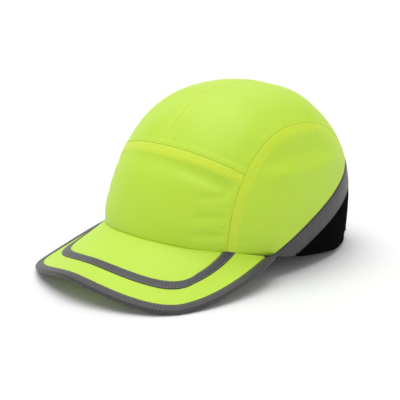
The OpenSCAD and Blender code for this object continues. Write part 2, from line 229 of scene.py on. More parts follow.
def arch(az, grow=0.0):
    """Height of the rear opening's edge, grown outwards; the rim where there is no arch."""
    half = OPENING_ARC / 2 + grow / 2
    t = np.minimum(1, np.abs(np.asarray(az, float) - 180) / half)
    low = rim(180.0)
    return np.maximum(rim(az), low + (OPENING_TOP + grow - low) * np.sqrt(np.maximum(0, 1 - t**3)))


# ---------- small tools for shaping cloth ----------


def smooth(t):
    t = np.clip(t, 0, 1)
    return t * t * (3 - 2 * t)


def bell(x, width):
    return np.exp(-((x / width) ** 2))


def rounded(d, radius, least=0):
    """Share of the full height at d mm from a rounded edge."""
    return np.sqrt(np.clip(1 - (1 - np.clip(d / radius, 0, 1)) ** 2, least, 1))


def waves(x, lengths, seed):
    """Uneven ripples: a sum of sines of the given wavelengths, about -1 to 1."""
    rng = np.random.default_rng(seed)
    total = 0
    for length in lengths:
        total = total + np.sin(2 * np.pi * x / length + rng.uniform(0, 2 * np.pi))
    return total / math.sqrt(2 * len(lengths))


FINE = [0, 0.35, 0.75, 1.2, 1.8, 2.5, 3.3, 4.0, 4.5, 4.9, 5.3, 5.7, 6.1, 6.6, 7.2, 8.1, 9.3, 10.8]


def graded(length, pitch=1.6, fine=FINE):
    """Positions from 0 to length, close together at both ends."""
    fine = [f for f in fine if f < length * 0.42]
    inner = length - 2 * fine[-1]
    n = max(2, round(inner / pitch))
    middle = [fine[-1] + inner * k / n for k in range(1, n)]
    return np.array(fine + middle + [length - f for f in reversed(fine)])


def arc_lengths(path):
    steps = np.linalg.norm(np.diff(path, axis=0), axis=1)
    return np.concatenate([[0], np.cumsum(steps)])


def along(path, distances):
    """Points at the given distances along a path."""
    total = arc_lengths(path)
    return np.stack([np.interp(distances, total, path[:, k]) for k in range(path.shape[1])], -1)


def columns(curve_of, count, mean, pitch=1.6):
    """Grid whose columns follow curve_of(j), each with rows graded by distance along it."""
    rows = graded(mean, pitch)
    edge = sum(1 for f in FINE if f < mean * 0.42) - 1
    near, far = rows[edge], rows[-edge - 1]
    tail = mean - far
    grid = []
    for j in range(count):
        path = curve_of(j)
        length = arc_lengths(path)[-1]
        d = rows.copy()
        d[: edge + 1] *= min(near, length * 0.45) / near
        d[-edge - 1 :] = length - (mean - rows[-edge - 1 :]) * (min(tail, length * 0.45) / tail)
        d[edge : len(rows) - edge] = np.interp(
            rows[edge : len(rows) - edge], [near, far], [d[edge], d[-edge - 1]]
        )
        grid.append(along(path, d))
    return np.array(grid).transpose(1, 0, 2)


class Curve:
    """A seam line, which gives the distance of points to it and their place along it."""

    def __init__(self, path):
        self.path = along(path, np.linspace(0, arc_lengths(path)[-1], 500))
        self.place = arc_lengths(self.path)
        self.tree = KDTree(len(self.path))
        for i, p in enumerate(self.path):
            self.tree.insert(p, i)
        self.tree.balance()

    def of(self, grid):
        flat = grid.reshape(-1, 3)
        found = [self.tree.find(p) for p in flat]
        index = np.array([f[1] for f in found])
        # The nearest point on either neighbouring stretch, so that the distance is smooth
        best = np.array([f[2] for f in found])
        for step in (-1, 1):
            other = np.clip(index + step, 0, len(self.path) - 1)
            a, b = self.path[index], self.path[other]
            ab = b - a
            t = np.clip(((flat - a) * ab).sum(1) / np.maximum((ab * ab).sum(1), 1e-9), 0, 1)
            best = np.minimum(best, np.linalg.norm(flat - a - t[:, None] * ab, axis=1))
        return best.reshape(grid.shape[:-1]), self.place[index].reshape(grid.shape[:-1])


# ---------- making meshes ----------


def make_object(name, verts, faces, material, uv=None, tint_and_edge_shade=None):
    """Mesh object from points in millimetres. uv is in millimetres too; one value a point gives cloth a
    yellower tone beside its seams and gives the tapes painted shade along their edges.
    """
    mesh = bpy.data.meshes.new(name)
    mesh.from_pydata((np.asarray(verts) * MM).tolist(), [], faces)
    mesh.polygons.foreach_set("use_smooth", [True] * len(mesh.polygons))
    if uv is not None:
        loops = np.zeros(len(mesh.loops), int)
        mesh.loops.foreach_get("vertex_index", loops)
        layer = mesh.uv_layers.new(name="cloth")
        layer.data.foreach_set("uv", (np.asarray(uv)[loops] * 0.01).ravel())
    if tint_and_edge_shade is not None:
        attribute = mesh.attributes.new("tint_and_edge_shade", "FLOAT", "POINT")
        attribute.data.foreach_set("value", np.asarray(tint_and_edge_shade, np.float32))
    mesh.validate()
    mesh.update()
    obj = bpy.data.objects.new(name, mesh)
    bpy.context.scene.collection.objects.link(obj)
    obj.data.materials.append(material)
    return obj


def grid_faces(rows, cols, ring=False, offset=0, flip=False):
    faces = []
    for i in range(rows - 1):
        for j in range(cols if ring else cols - 1):
            a, b = offset + i * cols + j, offset + i * cols + (j + 1) % cols
            quad = (a, b, b + cols, a + cols)
            faces.append(quad[::-1] if flip else quad)
    return faces


def rim_loop(rows, cols):
    """Indices round the edge of a grid."""
    top = list(range(cols))
    right = [i * cols + cols - 1 for i in range(1, rows)]
    bottom = [(rows - 1) * cols + j for j in range(cols - 2, -1, -1)]
    left = [i * cols for i in range(rows - 2, 0, -1)]
    return top + right + bottom + left


def sheet_object(name, outer, inner, material, uv, tint_and_edge_shade=None, flip=False):
    """Closed sheet between two grids. flip turns it over, for grids that run the other way."""
    rows, cols = outer.shape[:2]
    count = rows * cols
    faces = grid_faces(rows, cols, flip=flip) + grid_faces(rows, cols, offset=count, flip=not flip)
    loop = rim_loop(rows, cols)
    for a, b in zip(loop, loop[1:] + loop[:1]):
        quad = (b, a, a + count, b + count)
        faces.append(quad[::-1] if flip else quad)
    verts = np.concatenate([outer.reshape(-1, 3), inner.reshape(-1, 3)])
    uv = np.concatenate([uv.reshape(-1, 2)] * 2)
    if tint_and_edge_shade is not None:
        tint_and_edge_shade = np.tile(np.broadcast_to(tint_and_edge_shade, outer.shape[:2]).ravel(), 2)
    return make_object(name, verts, faces, material, uv, tint_and_edge_shade)


def dome_faces(rows, cols, count):
    """Faces that close a dome of two grids: round its rim, and to a point at each pole."""
    faces, last = [], (rows - 1) * cols
    for j in range(cols):
        a, b = j, (j + 1) % cols
        faces.append((b, a, a + count, b + count))
        faces.append((last + a, last + b, 2 * count))
        faces.append((last + b + count, last + a + count, 2 * count + 1))
    return faces


def grid_uv(grid):
    """Distances along the rows and columns of a grid, so that a weave keeps its scale."""
    dx = np.linalg.norm(np.diff(grid, axis=1), axis=2)
    dy = np.linalg.norm(np.diff(grid, axis=0), axis=2)
    u = np.concatenate([np.zeros((grid.shape[0], 1)), np.cumsum(dx, 1)], 1)
    v = np.concatenate([np.zeros((1, grid.shape[1])), np.cumsum(dy, 0)], 0)
    u = u - u[:, [grid.shape[1] // 2]]
    return np.stack([u, v], -1)


def spread(u, v):
    """Grid of the pairs u, v."""
    return np.stack(np.broadcast_arrays(u, v), -1)


def area_of(grid):
    a, b, c, d = grid[:-1, :-1], grid[:-1, 1:], grid[1:, 1:], grid[1:, :-1]
    one = np.linalg.norm(np.cross(b - a, c - a), axis=-1)
    two = np.linalg.norm(np.cross(c - a, d - a), axis=-1)
    return float((one + two).sum() / 2)


def declare_sheet(obj, grid):
    """Works out the width, length and area of a piece cut to the size of its grid, and keeps none of them.
    """
    width = max(arc_lengths(grid[i])[-1] for i in range(0, grid.shape[0], 4)) * MM
    length = max(arc_lengths(grid[:, j])[-1] for j in range(0, grid.shape[1], 4)) * MM
    area = area_of(grid) * MM * MM
    width, length = max(width, 0.0101), max(length, 0.0101)


def stitches(name, paths, material, pitch=2.9, length=2.1, radius=0.24, lift=0.1):
    """Short threads along paths, each path a pair of points and outward normals."""
    sides, rings = 6, 5
    bend = np.linspace(-1, 1, rings)
    verts, faces = [], []
    for path, normals in paths:
        total = arc_lengths(path)[-1]
        count = int(total // pitch)
        if count < 1:
            continue
        where = (np.arange(count) + 0.5) * total / count
        centre = along(path, where)
        ahead = along(path, where + 0.3) - along(path, where - 0.3)
        ahead /= np.linalg.norm(ahead, axis=1)[:, None]
        up = np.stack([np.interp(where, arc_lengths(path), normals[:, k]) for k in range(3)], -1)
        up -= (up * ahead).sum(1)[:, None] * ahead
        up /= np.linalg.norm(up, axis=1)[:, None]
        side = np.cross(ahead, up)
        for k in range(count):
            start = len(verts)
            for b in bend:
                middle = centre[k] + ahead[k] * b * length / 2 + up[k] * (lift - 0.32 * b * b)
                r = radius * (1 - 0.35 * b * b)
                for q in range(sides):
                    a = 2 * math.pi * q / sides
                    verts.append(middle + r * (math.cos(a) * side[k] + math.sin(a) * up[k]))
            faces += grid_faces(rings, sides, True, start)
            faces.append(tuple(start + q for q in reversed(range(sides))))
            faces.append(tuple(start + (rings - 1) * sides + q for q in range(sides)))
    return make_object(name, np.array(verts), faces, material)


# ---------- materials ----------


class Nodes:
    """Short hands for building a node material."""

    def __init__(self, name):
        self.material = bpy.data.materials.new(name)
        self.material.use_nodes = True
        self.tree = self.material.node_tree
        self.shader = self.tree.nodes["Principled BSDF"]

    def put(self, socket, value):
        if hasattr(value, "is_output"):
            self.tree.links.new(value, socket)
        else:
            socket.default_value = value

    def node(self, kind, *inputs, **settings):
        """New node, with its first inputs and its settings filled in."""
        made = self.tree.nodes.new(kind)
        for key, value in settings.items():
            setattr(made, key, value)
        for socket, value in zip(made.inputs, inputs):
            self.put(socket, value)
        return made

    def math(self, operation, a, b=0.0):
        return self.node("ShaderNodeMath", a, b, operation=operation).outputs[0]

    def times(self, a, b):
        return self.math("MULTIPLY", a, b)

    def mix(self, factor, a, b):
        made = self.node("ShaderNodeMix", factor, data_type="RGBA")
        self.put(made.inputs[6], a)
        self.put(made.inputs[7], b)
        return made.outputs[2]

    def over(self, base, where, share, *shade):
        """base with a share of a screen colour laid over it."""
        return self.mix(self.times(where, share), base, colour(*shade))

    def scaled(self, vector, *scale):
        return self.node("ShaderNodeVectorMath", vector, scale, operation="MULTIPLY").outputs[0]

    def uv(self):
        """The cloth's own coordinates in millimetres: both together, then each alone."""
        vector = self.scaled(self.node("ShaderNodeUVMap", uv_map="cloth").outputs[0], 100, 100, 100)
        split = self.node("ShaderNodeSeparateXYZ", vector)
        return vector, split.outputs[0], split.outputs[1]

    def place(self, scale=1000):
        """Object coordinates, in millimetres."""
        return self.scaled(self.node("ShaderNodeTexCoord").outputs["Object"], scale, scale, scale)

    def fill(self, made, **inputs):
        for key, value in inputs.items():
            self.put(made.inputs[key.replace("_", " ")], value)
        return made

    def noise(self, vector, scale, detail=2.0, roughness=0.5):
        made = self.node("ShaderNodeTexNoise")
        self.fill(made, Vector=vector, Scale=scale, Detail=detail, Roughness=roughness)
        return made.outputs["Fac"]

    def cells(self, vector, scale):
        return self.fill(self.node("ShaderNodeTexVoronoi"), Vector=vector, Scale=scale).outputs["Distance"]

    def sine(self, x, period):
        """0 to 1 along x."""
        wave = self.math("SINE", self.times(x, 2 * math.pi / period))
        return self.math("ADD", self.times(wave, 0.5), 0.5)

    def bump(self, height, distance, strength):
        made = self.node("ShaderNodeBump")
        return self.fill(made, Strength=strength, Distance=distance, Height=height).outputs[0]

    # Per-point value: a yellower tone beside the seams on cloth, painted shade along the edges of the
    # tapes.
    def tint_and_edge_shade(self):
        return self.node("ShaderNodeAttribute", attribute_name="tint_and_edge_shade").outputs["Fac"]

    def finish(self, base, rough, gloss, **inputs):
        self.fill(self.shader, Base_Color=base, Roughness=rough, Specular_IOR_Level=gloss, **inputs)
        return self.material


def colour(red, green, blue):
    """Linear colour from the 0 to 255 values of a screen colour."""
    lin = [((c / 255 + 0.055) / 1.055) ** 2.4 if c > 10 else c / 255 / 12.92 for c in (red, green, blue)]
    return (*lin, 1.0)


def weave(n, u, v, period):
    """Height of a plain weave: threads over and under each other."""
    turns = [n.math("SINE", n.times(x, math.pi / period)) for x in (u, v)]
    over = n.math("GREATER_THAN", n.times(*turns), 0.0)
    under = n.math("SUBTRACT", 1.0, over)
    return n.math("ADD", n.times(n.sine(u, period), over), n.times(n.sine(v, period), under))


def lime_cloth():
    n = Nodes("lime_cloth")
    vector, u, v = n.uv()
    height = weave(n, u, v, 0.5)
    mottle = n.noise(n.place(), 0.045, 3.0)
    slub = n.noise(n.scaled(vector, 0.15, 1, 1), 1.1)  # Threads of uneven thickness
    base = n.mix(n.times(mottle, 0.5), colour(174, 210, 18), colour(181, 215, 24))
    base = n.over(base, height, 0.10, 148, 186, 10)
    base = n.over(base, slub, 0.2, 196, 226, 52)
    base = n.over(base, n.tint_and_edge_shade(), 0.55, 204, 220, 22)
    return n.finish(
        base, n.math("ADD", 0.5, n.times(slub, 0.14)), 0.75, Normal=n.bump(height, 0.00006, 0.5),
        Sheen_Weight=0.1, Sheen_Roughness=0.45, Sheen_Tint=(0.95, 1.0, 0.8, 1.0),
    )


def thread(name, *shade):
    n = Nodes(name)
    twist = n.sine(n.noise(n.place(), 2.5), 0.2)
    tone = colour(*shade)
    base = n.mix(n.times(twist, 0.15), tone, tuple(0.6 * c for c in tone[:3]) + (1.0,))
    return n.finish(base, 0.55, 0.4, Sheen_Weight=0.1)


def reflective():
    """Grey reflective tape: fine glass beads in a satin film."""
    n = Nodes("reflective_tape")
    vector = n.uv()[0]
    beads = n.cells(vector, 2.2)
    grain = n.noise(vector, 2.6)
    base = n.mix(n.noise(n.place(), 0.12, 3.0), colour(56, 56, 58), colour(68, 68, 70))
    base = n.over(base, grain, 0.5, 46, 46, 48)
    # Painted shade: the tape turns dark grey along its edges, where each tape's per-point value is high.
    base = n.over(base, n.tint_and_edge_shade(), 0.6, 28, 30, 28)
    return n.finish(
        base, n.math("ADD", 0.42, n.times(grain, 0.2)), 0.5, Normal=n.bump(beads, 0.00008, 0.35),
        Metallic=0.15, Sheen_Weight=0.1, Sheen_Roughness=0.4,
    )


def ribbed_mesh():
    n = Nodes("black_mesh")
    vector, u, v = n.uv()
    holes = n.times(n.sine(n.math("ADD", u, v), 1.1), n.sine(n.math("SUBTRACT", u, v), 1.1))
    # The holes are painted darker than the threads: painted shade in the open holes.
    base = n.mix(holes, colour(7, 5, 5), colour(3, 2, 2))
    base = n.over(base, n.noise(vector, 3.0), 0.3, 9, 7, 7)
    return n.finish(base, 0.85, 0.02, Normal=n.bump(n.math("SUBTRACT", 1.0, holes), 0.0003, 0.5))


def webbing(name, dark, light, period=1.3):
    n = Nodes(name)
    _, u, v = n.uv()
    cross = n.sine(v, 0.9)
    rows = n.sine(n.math("ADD", u, n.times(cross, 0.35)), period)
    height = n.times(rows, n.math("ADD", 0.5, n.times(cross, 0.5)))
    base = n.mix(height, colour(*dark), colour(*light))
    return n.finish(base, 0.75, 0.3, Normal=n.bump(height, 0.0002, 0.6), Sheen_Weight=0.1)


def towelling():
    n = Nodes("sweatband_towel")
    loops = n.cells(n.place(), 1.1)
    base = n.mix(loops, colour(52, 52, 55), colour(24, 24, 26))
    base = n.over(base, n.noise(n.place(), 0.9, 3.0), 0.5, 38, 38, 41)
    return n.finish(
        base, 0.95, 0.15, Normal=n.bump(loops, 0.0005, 0.7), Sheen_Weight=0.25, Sheen_Roughness=0.6
    )


def foam():
    n = Nodes("foam")
    cells = n.cells(n.place(), 1.6)
    base = n.mix(n.noise(n.place(), 0.08, 3.0), colour(66, 68, 73), colour(82, 84, 90))
    base = n.over(base, cells, 0.4, 44, 46, 50)
    return n.finish(base, 0.9, 0.25, Normal=n.bump(cells, 0.0002, 0.5))


def moulded(name, dark, light, rough, grain_depth=0.0001):
    n = Nodes(name)
    grain = n.noise(n.place(), 1.8, 3.0, 0.6)
    base = n.mix(n.noise(n.place(), 0.05), colour(*dark), colour(*light))
    rough = n.math("ADD", rough, n.times(grain, 0.12))
    return n.finish(base, rough, 0.5, Normal=n.bump(grain, grain_depth, 0.4))


def fuzzy(name, dark, light, scale):
    """Hook or loop tape."""
    n = Nodes(name)
    tufts = n.cells(n.place(), scale)
    base = n.mix(tufts, colour(*light), colour(*dark))
    return n.finish(base, 0.95, 0.2, Normal=n.bump(tufts, 0.0006, 0.8), Sheen_Weight=0.3)


LIME = lime_cloth()
LIME_THREAD = thread("lime_thread", 198, 230, 62)
GREY_THREAD = thread("grey_thread", 140, 139, 132)
DARK_THREAD = thread("dark_grey_thread", 84, 84, 82)
BLACK_THREAD = thread("black_thread", 22, 21, 22)
TAPE = reflective()
MESH = ribbed_mesh()
STRAP = webbing("black_webbing", (14, 14, 15), (34, 34, 36))
SEAM_TAPE = webbing("seam_tape", (70, 70, 72), (98, 98, 100), 0.8)
NET = webbing("stiff_net", (196, 196, 190), (224, 224, 218), 1.6)
TOWEL = towelling()
FOAM = foam()
SHELL = moulded("hard_shell", (30, 31, 33), (38, 39, 42), 0.42)
RING = moulded("ring_plastic", (18, 18, 20), (24, 24, 26), 0.24, 0.00003)
CORE = moulded("brim_core", (225, 225, 220), (235, 235, 230), 0.5)
LOOP = fuzzy("loop_tape", (16, 16, 18), (44, 44, 48), 1.3)
HOOK = fuzzy("hook_tape", (14, 14, 16), (40, 40, 42), 0.9)


def settle(obj, body, node, slot):
    """Puts a finished piece on its body, in place of the CAD node that it stands for."""
    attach(obj, body)
    if node:
        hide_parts(node)


def layered(name, base, up, high, low, material, slot, body="cap", uv=None, tint_and_edge_shade=None, flip=False):
    """Closed sheet between two heights above a grid, in place of the CAD node of the same name."""
    outer = base + up * np.asarray(high)[..., None]
    inner = base + up * np.asarray(low)[..., None]
    obj = sheet_object(name, outer, inner, material, grid_uv(base) if uv is None else uv, tint_and_edge_shade, flip)
    settle(obj, body, name, slot)
    return obj, outer, inner


def sew(name, rows, material, slot, body="cap", **look):
    """Stitching, which stands for no CAD node."""
    settle(stitches(name, rows, material, **look), body, None, slot)


# ---------- seams ----------

SEAM_ROW = 5.3  # Distance of the topstitching from a seam
CLOSE_ROW = 2.0  # The same on the top panels
FRONT_ROW = 7.0  # The same below the front-top seam
BAND_ROW = 2.2  # The same on the reflective band


def seam_shape(d, place, seed, reach, ripple, raised, roll=0.5, row=SEAM_ROW, soft=1.2, dip=0.2):
    """Height of the cloth near a seam: it rolls in at the seam, stands proud over the folded
    allowance, dips at the topstitching and ripples beyond it."""
    rolled = -roll * (1 - smooth(d / 1.0)) ** 2
    proud = raised * (1 - smooth((d - row - 1.1) / soft))
    drawn = -dip * bell(d - row, 0.55)
    fade = np.exp(-np.maximum(d - 3, 0) / reach) * smooth(d / 4)
    ripples = ripple * fade * waves(place, (5.3, 7.9, 11.0, 17.0), seed)
    return rolled + proud + drawn + ripples


def puckers(d, place, seed, high, reach, lengths=(4.3, 5.6, 7.4)):
    """Short creases that run away from a seam where the thread has drawn the cloth up."""
    fade = smooth((d - 1) / 3) * np.exp(-np.maximum(d - 4, 0) / reach)
    spread = 0.55 + 0.45 * waves(place, (23, 37), seed + 1)
    return high * fade * spread * waves(place + 0.12 * d, lengths, seed)


def seam_tint(d, row=SEAM_ROW, soft=1.2):
    """1 on the folded cloth beside a seam."""
    return 1 - smooth((d - row - 0.5) / soft)


def fold_line(grid, start, end, width, height, taper=0.5):
    """A soft ridge or valley between two points, strongest in its middle."""
    a, b = np.array(start, float), np.array(end, float)
    ab = b - a
    t = ((grid - a) @ ab) / (ab @ ab)
    nearest = a + np.clip(t, 0, 1)[..., None] * ab
    d = np.linalg.norm(grid - nearest, axis=-1)
    strength = smooth(np.clip(t, 0, 1) / taper) * smooth((1 - np.clip(t, 0, 1)) / taper)
    return height * strength * bell(d, width)


def edge_roll(d, reach, depth):
    """How far a rounded edge has turned in, d mm from it."""
    inside = np.clip(1 - d / reach, 0, 1)
    return depth * (1 - np.sqrt(np.maximum(0, 1 - inside**2)))


def stitch_path(grid, normals, distance, at=SEAM_ROW):
    """Rows of stitches along the contour of a distance field, found column by column."""
    points, ups = [], []
    for j in range(grid.shape[1]):
        d = distance[:, j]
        cross = np.where((d[:-1] - at) * (d[1:] - at) < 0)[0]
        if len(cross) == 0:
            continue
        i = cross[0]
        t = (at - d[i]) / (d[i + 1] - d[i])
        points.append(grid[i, j] * (1 - t) + grid[i + 1, j] * t)
        ups.append(normals[i, j])
    return np.array(points), np.array(ups)


def upright_path(grid, normals, distance, at=SEAM_ROW):
    """The same for a seam that runs up the grid's columns."""
    return stitch_path(grid.transpose(1, 0, 2), normals.transpose(1, 0, 2), distance.T, at)


def flipped(grid):
    """The same grid on the other side of the cap."""
    return (grid * np.array([-1, 1, 1]))[:, ::-1]


def cloth_piece(name, base, rise, tint_and_edge_shade):
    """Panel of woven cloth over a grid of points of the crown's face."""
    up = normal(base)
    obj, outer, _ = layered(name, base, up, rise, rise * 0.85 - CLOTH, LIME, "lime_cloth", tint_and_edge_shade=tint_and_edge_shade)
    declare_sheet(obj, base)
    return outer, up


def both_sides(name, base, rise, tint_and_edge_shade):
    """The same panel on the wearer's left and right, each with a way to turn its fields."""
    for side, turned in (("left", lambda a: a), ("right", lambda a: a[:, ::-1])):
        grid = base if side == "left" else flipped(base)
        yield *cloth_piece(f"{name}_{side}", grid, turned(rise), turned(tint_and_edge_shade)), turned


# Seam lines of the crown
side_seam = Curve(at_slice(SEAM_X, np.linspace(slice_rim(SEAM_X), slice_band(SEAM_X), 300)))
across_x = np.linspace(-SEAM_X, SEAM_X, 200)
front_seam = Curve(at_slice(across_x, slice_seam(across_x)))
centre_seam = Curve(at_slice(0.0, np.linspace(slice_seam(0.0), slice_band(0.0), 300)))


def round_seam(plane):
    """Where a seam round the back starts, and the seam itself."""
    start = plane_rim(plane)
    az = np.linspace(start, 360 - start, 500)
    return start, Curve(at_height(az, plane_height(az, plane)))


band_start, band_seam = round_seam(BAND_TOP)
mesh_start, mesh_seam = round_seam(BAND_LOW)


# ---------- crown ----------


def front_place(x, height):
    """Place on the front of the crown, given from its widest line."""
    return at_slice(x, bisect(lambda a: at_slice(x, a)[..., 2] < CROWN_Z + height, 0.0, 60.0))


def front_valley(x, top, left):
    """Depth of the hollow under the front-top seam, which deepens to the wearer's left."""
    deeper = 0.3 + 0.4 * smooth((x + 45) / 60) + 1.4 * smooth((x - 5) / 45)
    return deeper * bell(top - 14.5, 5.5) * smooth(left / 9)


def front_panel():
    xs = graded(2 * SEAM_X) - SEAM_X
    low, high = slice_rim(xs), slice_seam(xs)
    base = columns(lambda j: at_slice(xs[j], np.linspace(low[j], high[j], 120)), len(xs), 78.0, 0.95)
    sides = (*side_seam.of(base), 3), (*side_seam.of(base * np.array([-1, 1, 1])), 5)
    left, right = sides[0][0], sides[1][0]
    top, top_at = front_seam.of(base)
    bottom = np.array([arc_lengths(base[:, j]) for j in range(base.shape[1])]).T
    x = base[..., 0]
    rise = seam_shape(*sides[0][:2], 3, 22, 0.2, 0.15) + seam_shape(*sides[1][:2], 5, 20, 0.2, 0.15)
    for side, side_at, seed in sides:
        rise += puckers(side, side_at, seed, 0.55, 5, (4.1, 5.2, 6.7))
        rise += puckers(side, side_at, seed + 4, 0.5, 14, (13, 17))
    rise += seam_shape(top, top_at, 7, 13, 0.16, 0.5, row=FRONT_ROW, soft=2.0)
    rise -= front_valley(x, top, left)
    # The stiffened panel stands out a little, most near its lower corners
    rise += 0.5 * smooth(bottom / 9) * smooth(top / 22)
    rise += 1.1 * bell(np.abs(x) - 48, 20) * bell(bottom - 15, 13)
    for height, deep in ((36, 1.0), (22, 1.2), (9, 1.0)):
        rise -= fold_line(base, front_place(65, height + 1), front_place(45, height), 3.0, deep, 0.3)
    # The lower edge rolls in above the brim
    rise -= edge_roll(bottom, 3.2, 1.6)
    tint_and_edge_shade = np.maximum(seam_tint(top, FRONT_ROW), 0.12 * seam_tint(np.minimum(left, right)))
    outer, up = cloth_piece("front_panel", base, rise, tint_and_edge_shade)
    rows = [stitch_path(outer, up, top, FRONT_ROW)]
    return rows + [upright_path(outer, up, side) for side in (left, right)]


def top_panels():
    xs = graded(SEAM_X)
    low, high = slice_seam(xs), slice_band(xs)
    base = columns(lambda j: at_slice(xs[j], np.linspace(low[j], high[j], 240)), len(xs), 190.0)
    side, side_at = side_seam.of(base)
    front, front_at = front_seam.of(base)
    middle, middle_at = centre_seam.of(base)
    rise = seam_shape(side, side_at, 11, 12, 0.22, 0.3, 0.3, CLOSE_ROW, 3.0, 0.12)
    rise += seam_shape(front, front_at, 13, 10, 0.16, 0.3, row=CLOSE_ROW, soft=3.0, dip=0.12)
    rise += seam_shape(middle, middle_at, 17, 10, 0.12, 0.3, 0.3)
    rise += seam_shape(*band_seam.of(base), 19, 14, 0.25, 0.0)
    rise += rear_puckers(base, side, side_at, 79)
    rise += 0.5 * waves(base[..., 1] + 0.6 * base[..., 0], (38, 57, 83), 23) * smooth(side / 20)
    tint_and_edge_shade = np.maximum(0.2 * seam_tint(np.minimum(side, front), CLOSE_ROW, 3.0), 0.3 * seam_tint(middle))
    rows = []
    for outer, up, turned in both_sides("top_panel", base, rise, tint_and_edge_shade):
        rows.append(stitch_path(outer, up, turned(front), CLOSE_ROW))
        rows.append(upright_path(outer, up, turned(side), CLOSE_ROW))
        rows.append(upright_path(outer, up, turned(middle)))
    return rows


def rear_puckers(grid, side, side_at, seed):
    """Creases where the side seam turns over to the rear."""
    back = grid[..., 1] - CROWN_Y
    where = smooth((back + 14) / 24) * (1 - 0.7 * smooth((back - 30) / 30))
    return where * puckers(side, side_at, seed, 0.9, 9, (7.3, 9.6, 13))


def side_place(x, back, up):
    """Place given from the middle of the crown's widest line."""
    return x, CROWN_Y + back, CROWN_Z + up


def side_panels():
    corner, meet = float(rim_at_x(SEAM_X)), band_start
    front, rear = float(slice_rim(SEAM_X)) + 0.6, float(slice_band(SEAM_X)) - 0.4
    tip = bisect(lambda az: at_height(az, plane_height(az, BAND_TOP))[..., 0] > SEAM_X, 90.0, 170.0)
    tip = float(tip) - 0.3
    turn = 0.3  # Share of the panel's length that lies along the rim, before the band
    s = np.sort(np.concatenate([(1 - np.cos(np.linspace(0, np.pi, 110))) / 2, [turn]]))
    along_rim = corner + (meet - corner) * s / turn
    along_band = meet + (tip - meet) * (s - turn) / (1 - turn)
    az = np.where(s < turn, along_rim, along_band)
    low = at_height(az, np.where(s < turn, rim(az), plane_height(az, BAND_TOP)))
    high = at_slice(SEAM_X, front + (rear - front) * s)

    def column(j):
        t = np.linspace(0, 1, 100)[:, None]
        line = low[j] * (1 - t) + high[j] * t
        return at_side(line[:, 1], line[:, 2])

    base = columns(column, len(s), 88.0)
    seam, seam_at = side_seam.of(base)
    band, band_at = band_seam.of(base)
    rim_az = np.linspace(corner, meet, 200)
    bottom = Curve(at_height(rim_az, rim(rim_az))).of(base)[0]
    rise = seam_shape(seam, seam_at, 29, 14, 0.25, 0.25, 0.3, soft=3.0, dip=0.1)
    rise += seam_shape(band, band_at, 31, 14, 0.2, 0.0)
    rise += 0.9 * smooth(seam / 25) * smooth(band / 25) * smooth(bottom / 20)
    # A ridge from the front seam to the band, and a hollow between it and the arch of the seam
    rise += fold_line(base, side_place(77, -50, 51), side_place(82, 6, 46), 6.0, 2.3)
    rise += fold_line(base, side_place(82, -6, 47), side_place(76, 68, 51), 5.5, 2.0)
    rise -= fold_line(base, side_place(73, -42, 60), side_place(77, 46, 62), 8.0, 2.6, 0.35)
    rise += rear_puckers(base, seam, seam_at, 73)
    rise -= edge_roll(bottom, 4.0, 1.8)
    tint_and_edge_shade = 0.75 * seam_tint(seam, soft=3.5)
    panels = both_sides("side_panel", base, rise, tint_and_edge_shade)
    return [stitch_path(outer, up, turned(seam)) for outer, up, turned in panels]


def band_grid(azimuths, lows, tops, across):
    t = np.asarray(across)[:, None]
    return at_height(azimuths, lows * (1 - t) + tops * t)


def reflective_band():
    azimuths = np.linspace(band_start + 0.35, 360 - band_start - 0.35, 420)
    tops = plane_height(azimuths, BAND_TOP) + 0.3
    lows = np.maximum(rim(azimuths), plane_height(azimuths, BAND_LOW) - 0.3)
    t = np.array([0, 0.02, 0.045, 0.08, 0.13, 0.2, 0.3, 0.42, 0.55, 0.68, 0.8, 0.88, 0.93, 0.965, 0.985, 1])
    base = band_grid(azimuths, lows, tops, t)
    top, top_at = band_seam.of(base)
    low = mesh_seam.of(base)[0]
    up = normal(base)
    edge = np.minimum(top, low)
    rise = 0.55 * smooth(edge / 0.7) - 0.1 + 0.12 * waves(top_at, (9, 13, 21), 37) * smooth(edge / 5)
    rise -= 0.16 * bell(top - BAND_ROW, 0.5) + 0.16 * bell(low - BAND_ROW, 0.5)
    # Painted shade along both edges of the band, where it meets the cloth.
    tint_and_edge_shade = (1 - smooth((edge - 0.3) / 0.9)) * 0.9
    obj, outer, _ = layered(
        "reflective_band", base, up, rise, rise * 0.3 - CLOTH, TAPE, "reflective_tape", tint_and_edge_shade=tint_and_edge_shade
    )
    declare_sheet(obj, base)
    return [stitch_path(outer, up, d, BAND_ROW) for d in (top, low)]


def rear_mesh():
    half = OPENING_ARC / 2 + 4.5
    side = np.linspace(mesh_start + 0.6, 180 - half, 150)
    middle = 180 + half * np.sin(np.linspace(-np.pi / 2, np.pi / 2, 131))[1:-1]
    azimuths = np.concatenate([side, middle, 360 - side[::-1]])
    tops = plane_height(azimuths, BAND_LOW)
    lows = arch(azimuths, 8.0) - 0.5
    base = band_grid(azimuths, lows, tops, np.linspace(0, 1, 70))
    top, _ = mesh_seam.of(base)
    up = normal(base)
    # Slanting ribs, 2.1 mm apart, as real relief
    flat = grid_uv(base)
    lean = 2 * np.pi * (flat[..., 0] * 0.62 - base[..., 2] * 0.78) / 2.1
    rise = 0.16 * np.sin(lean) + 0.5 * waves(flat[..., 0], (38, 55, 80), 41) * smooth(top / 15)
    rise -= 0.5 * (1 - smooth(top / 1.5))
    obj, *_ = layered("rear_mesh_panel", base, up, rise, rise - CLOTH, MESH, "black_mesh")
    declare_sheet(obj, base)


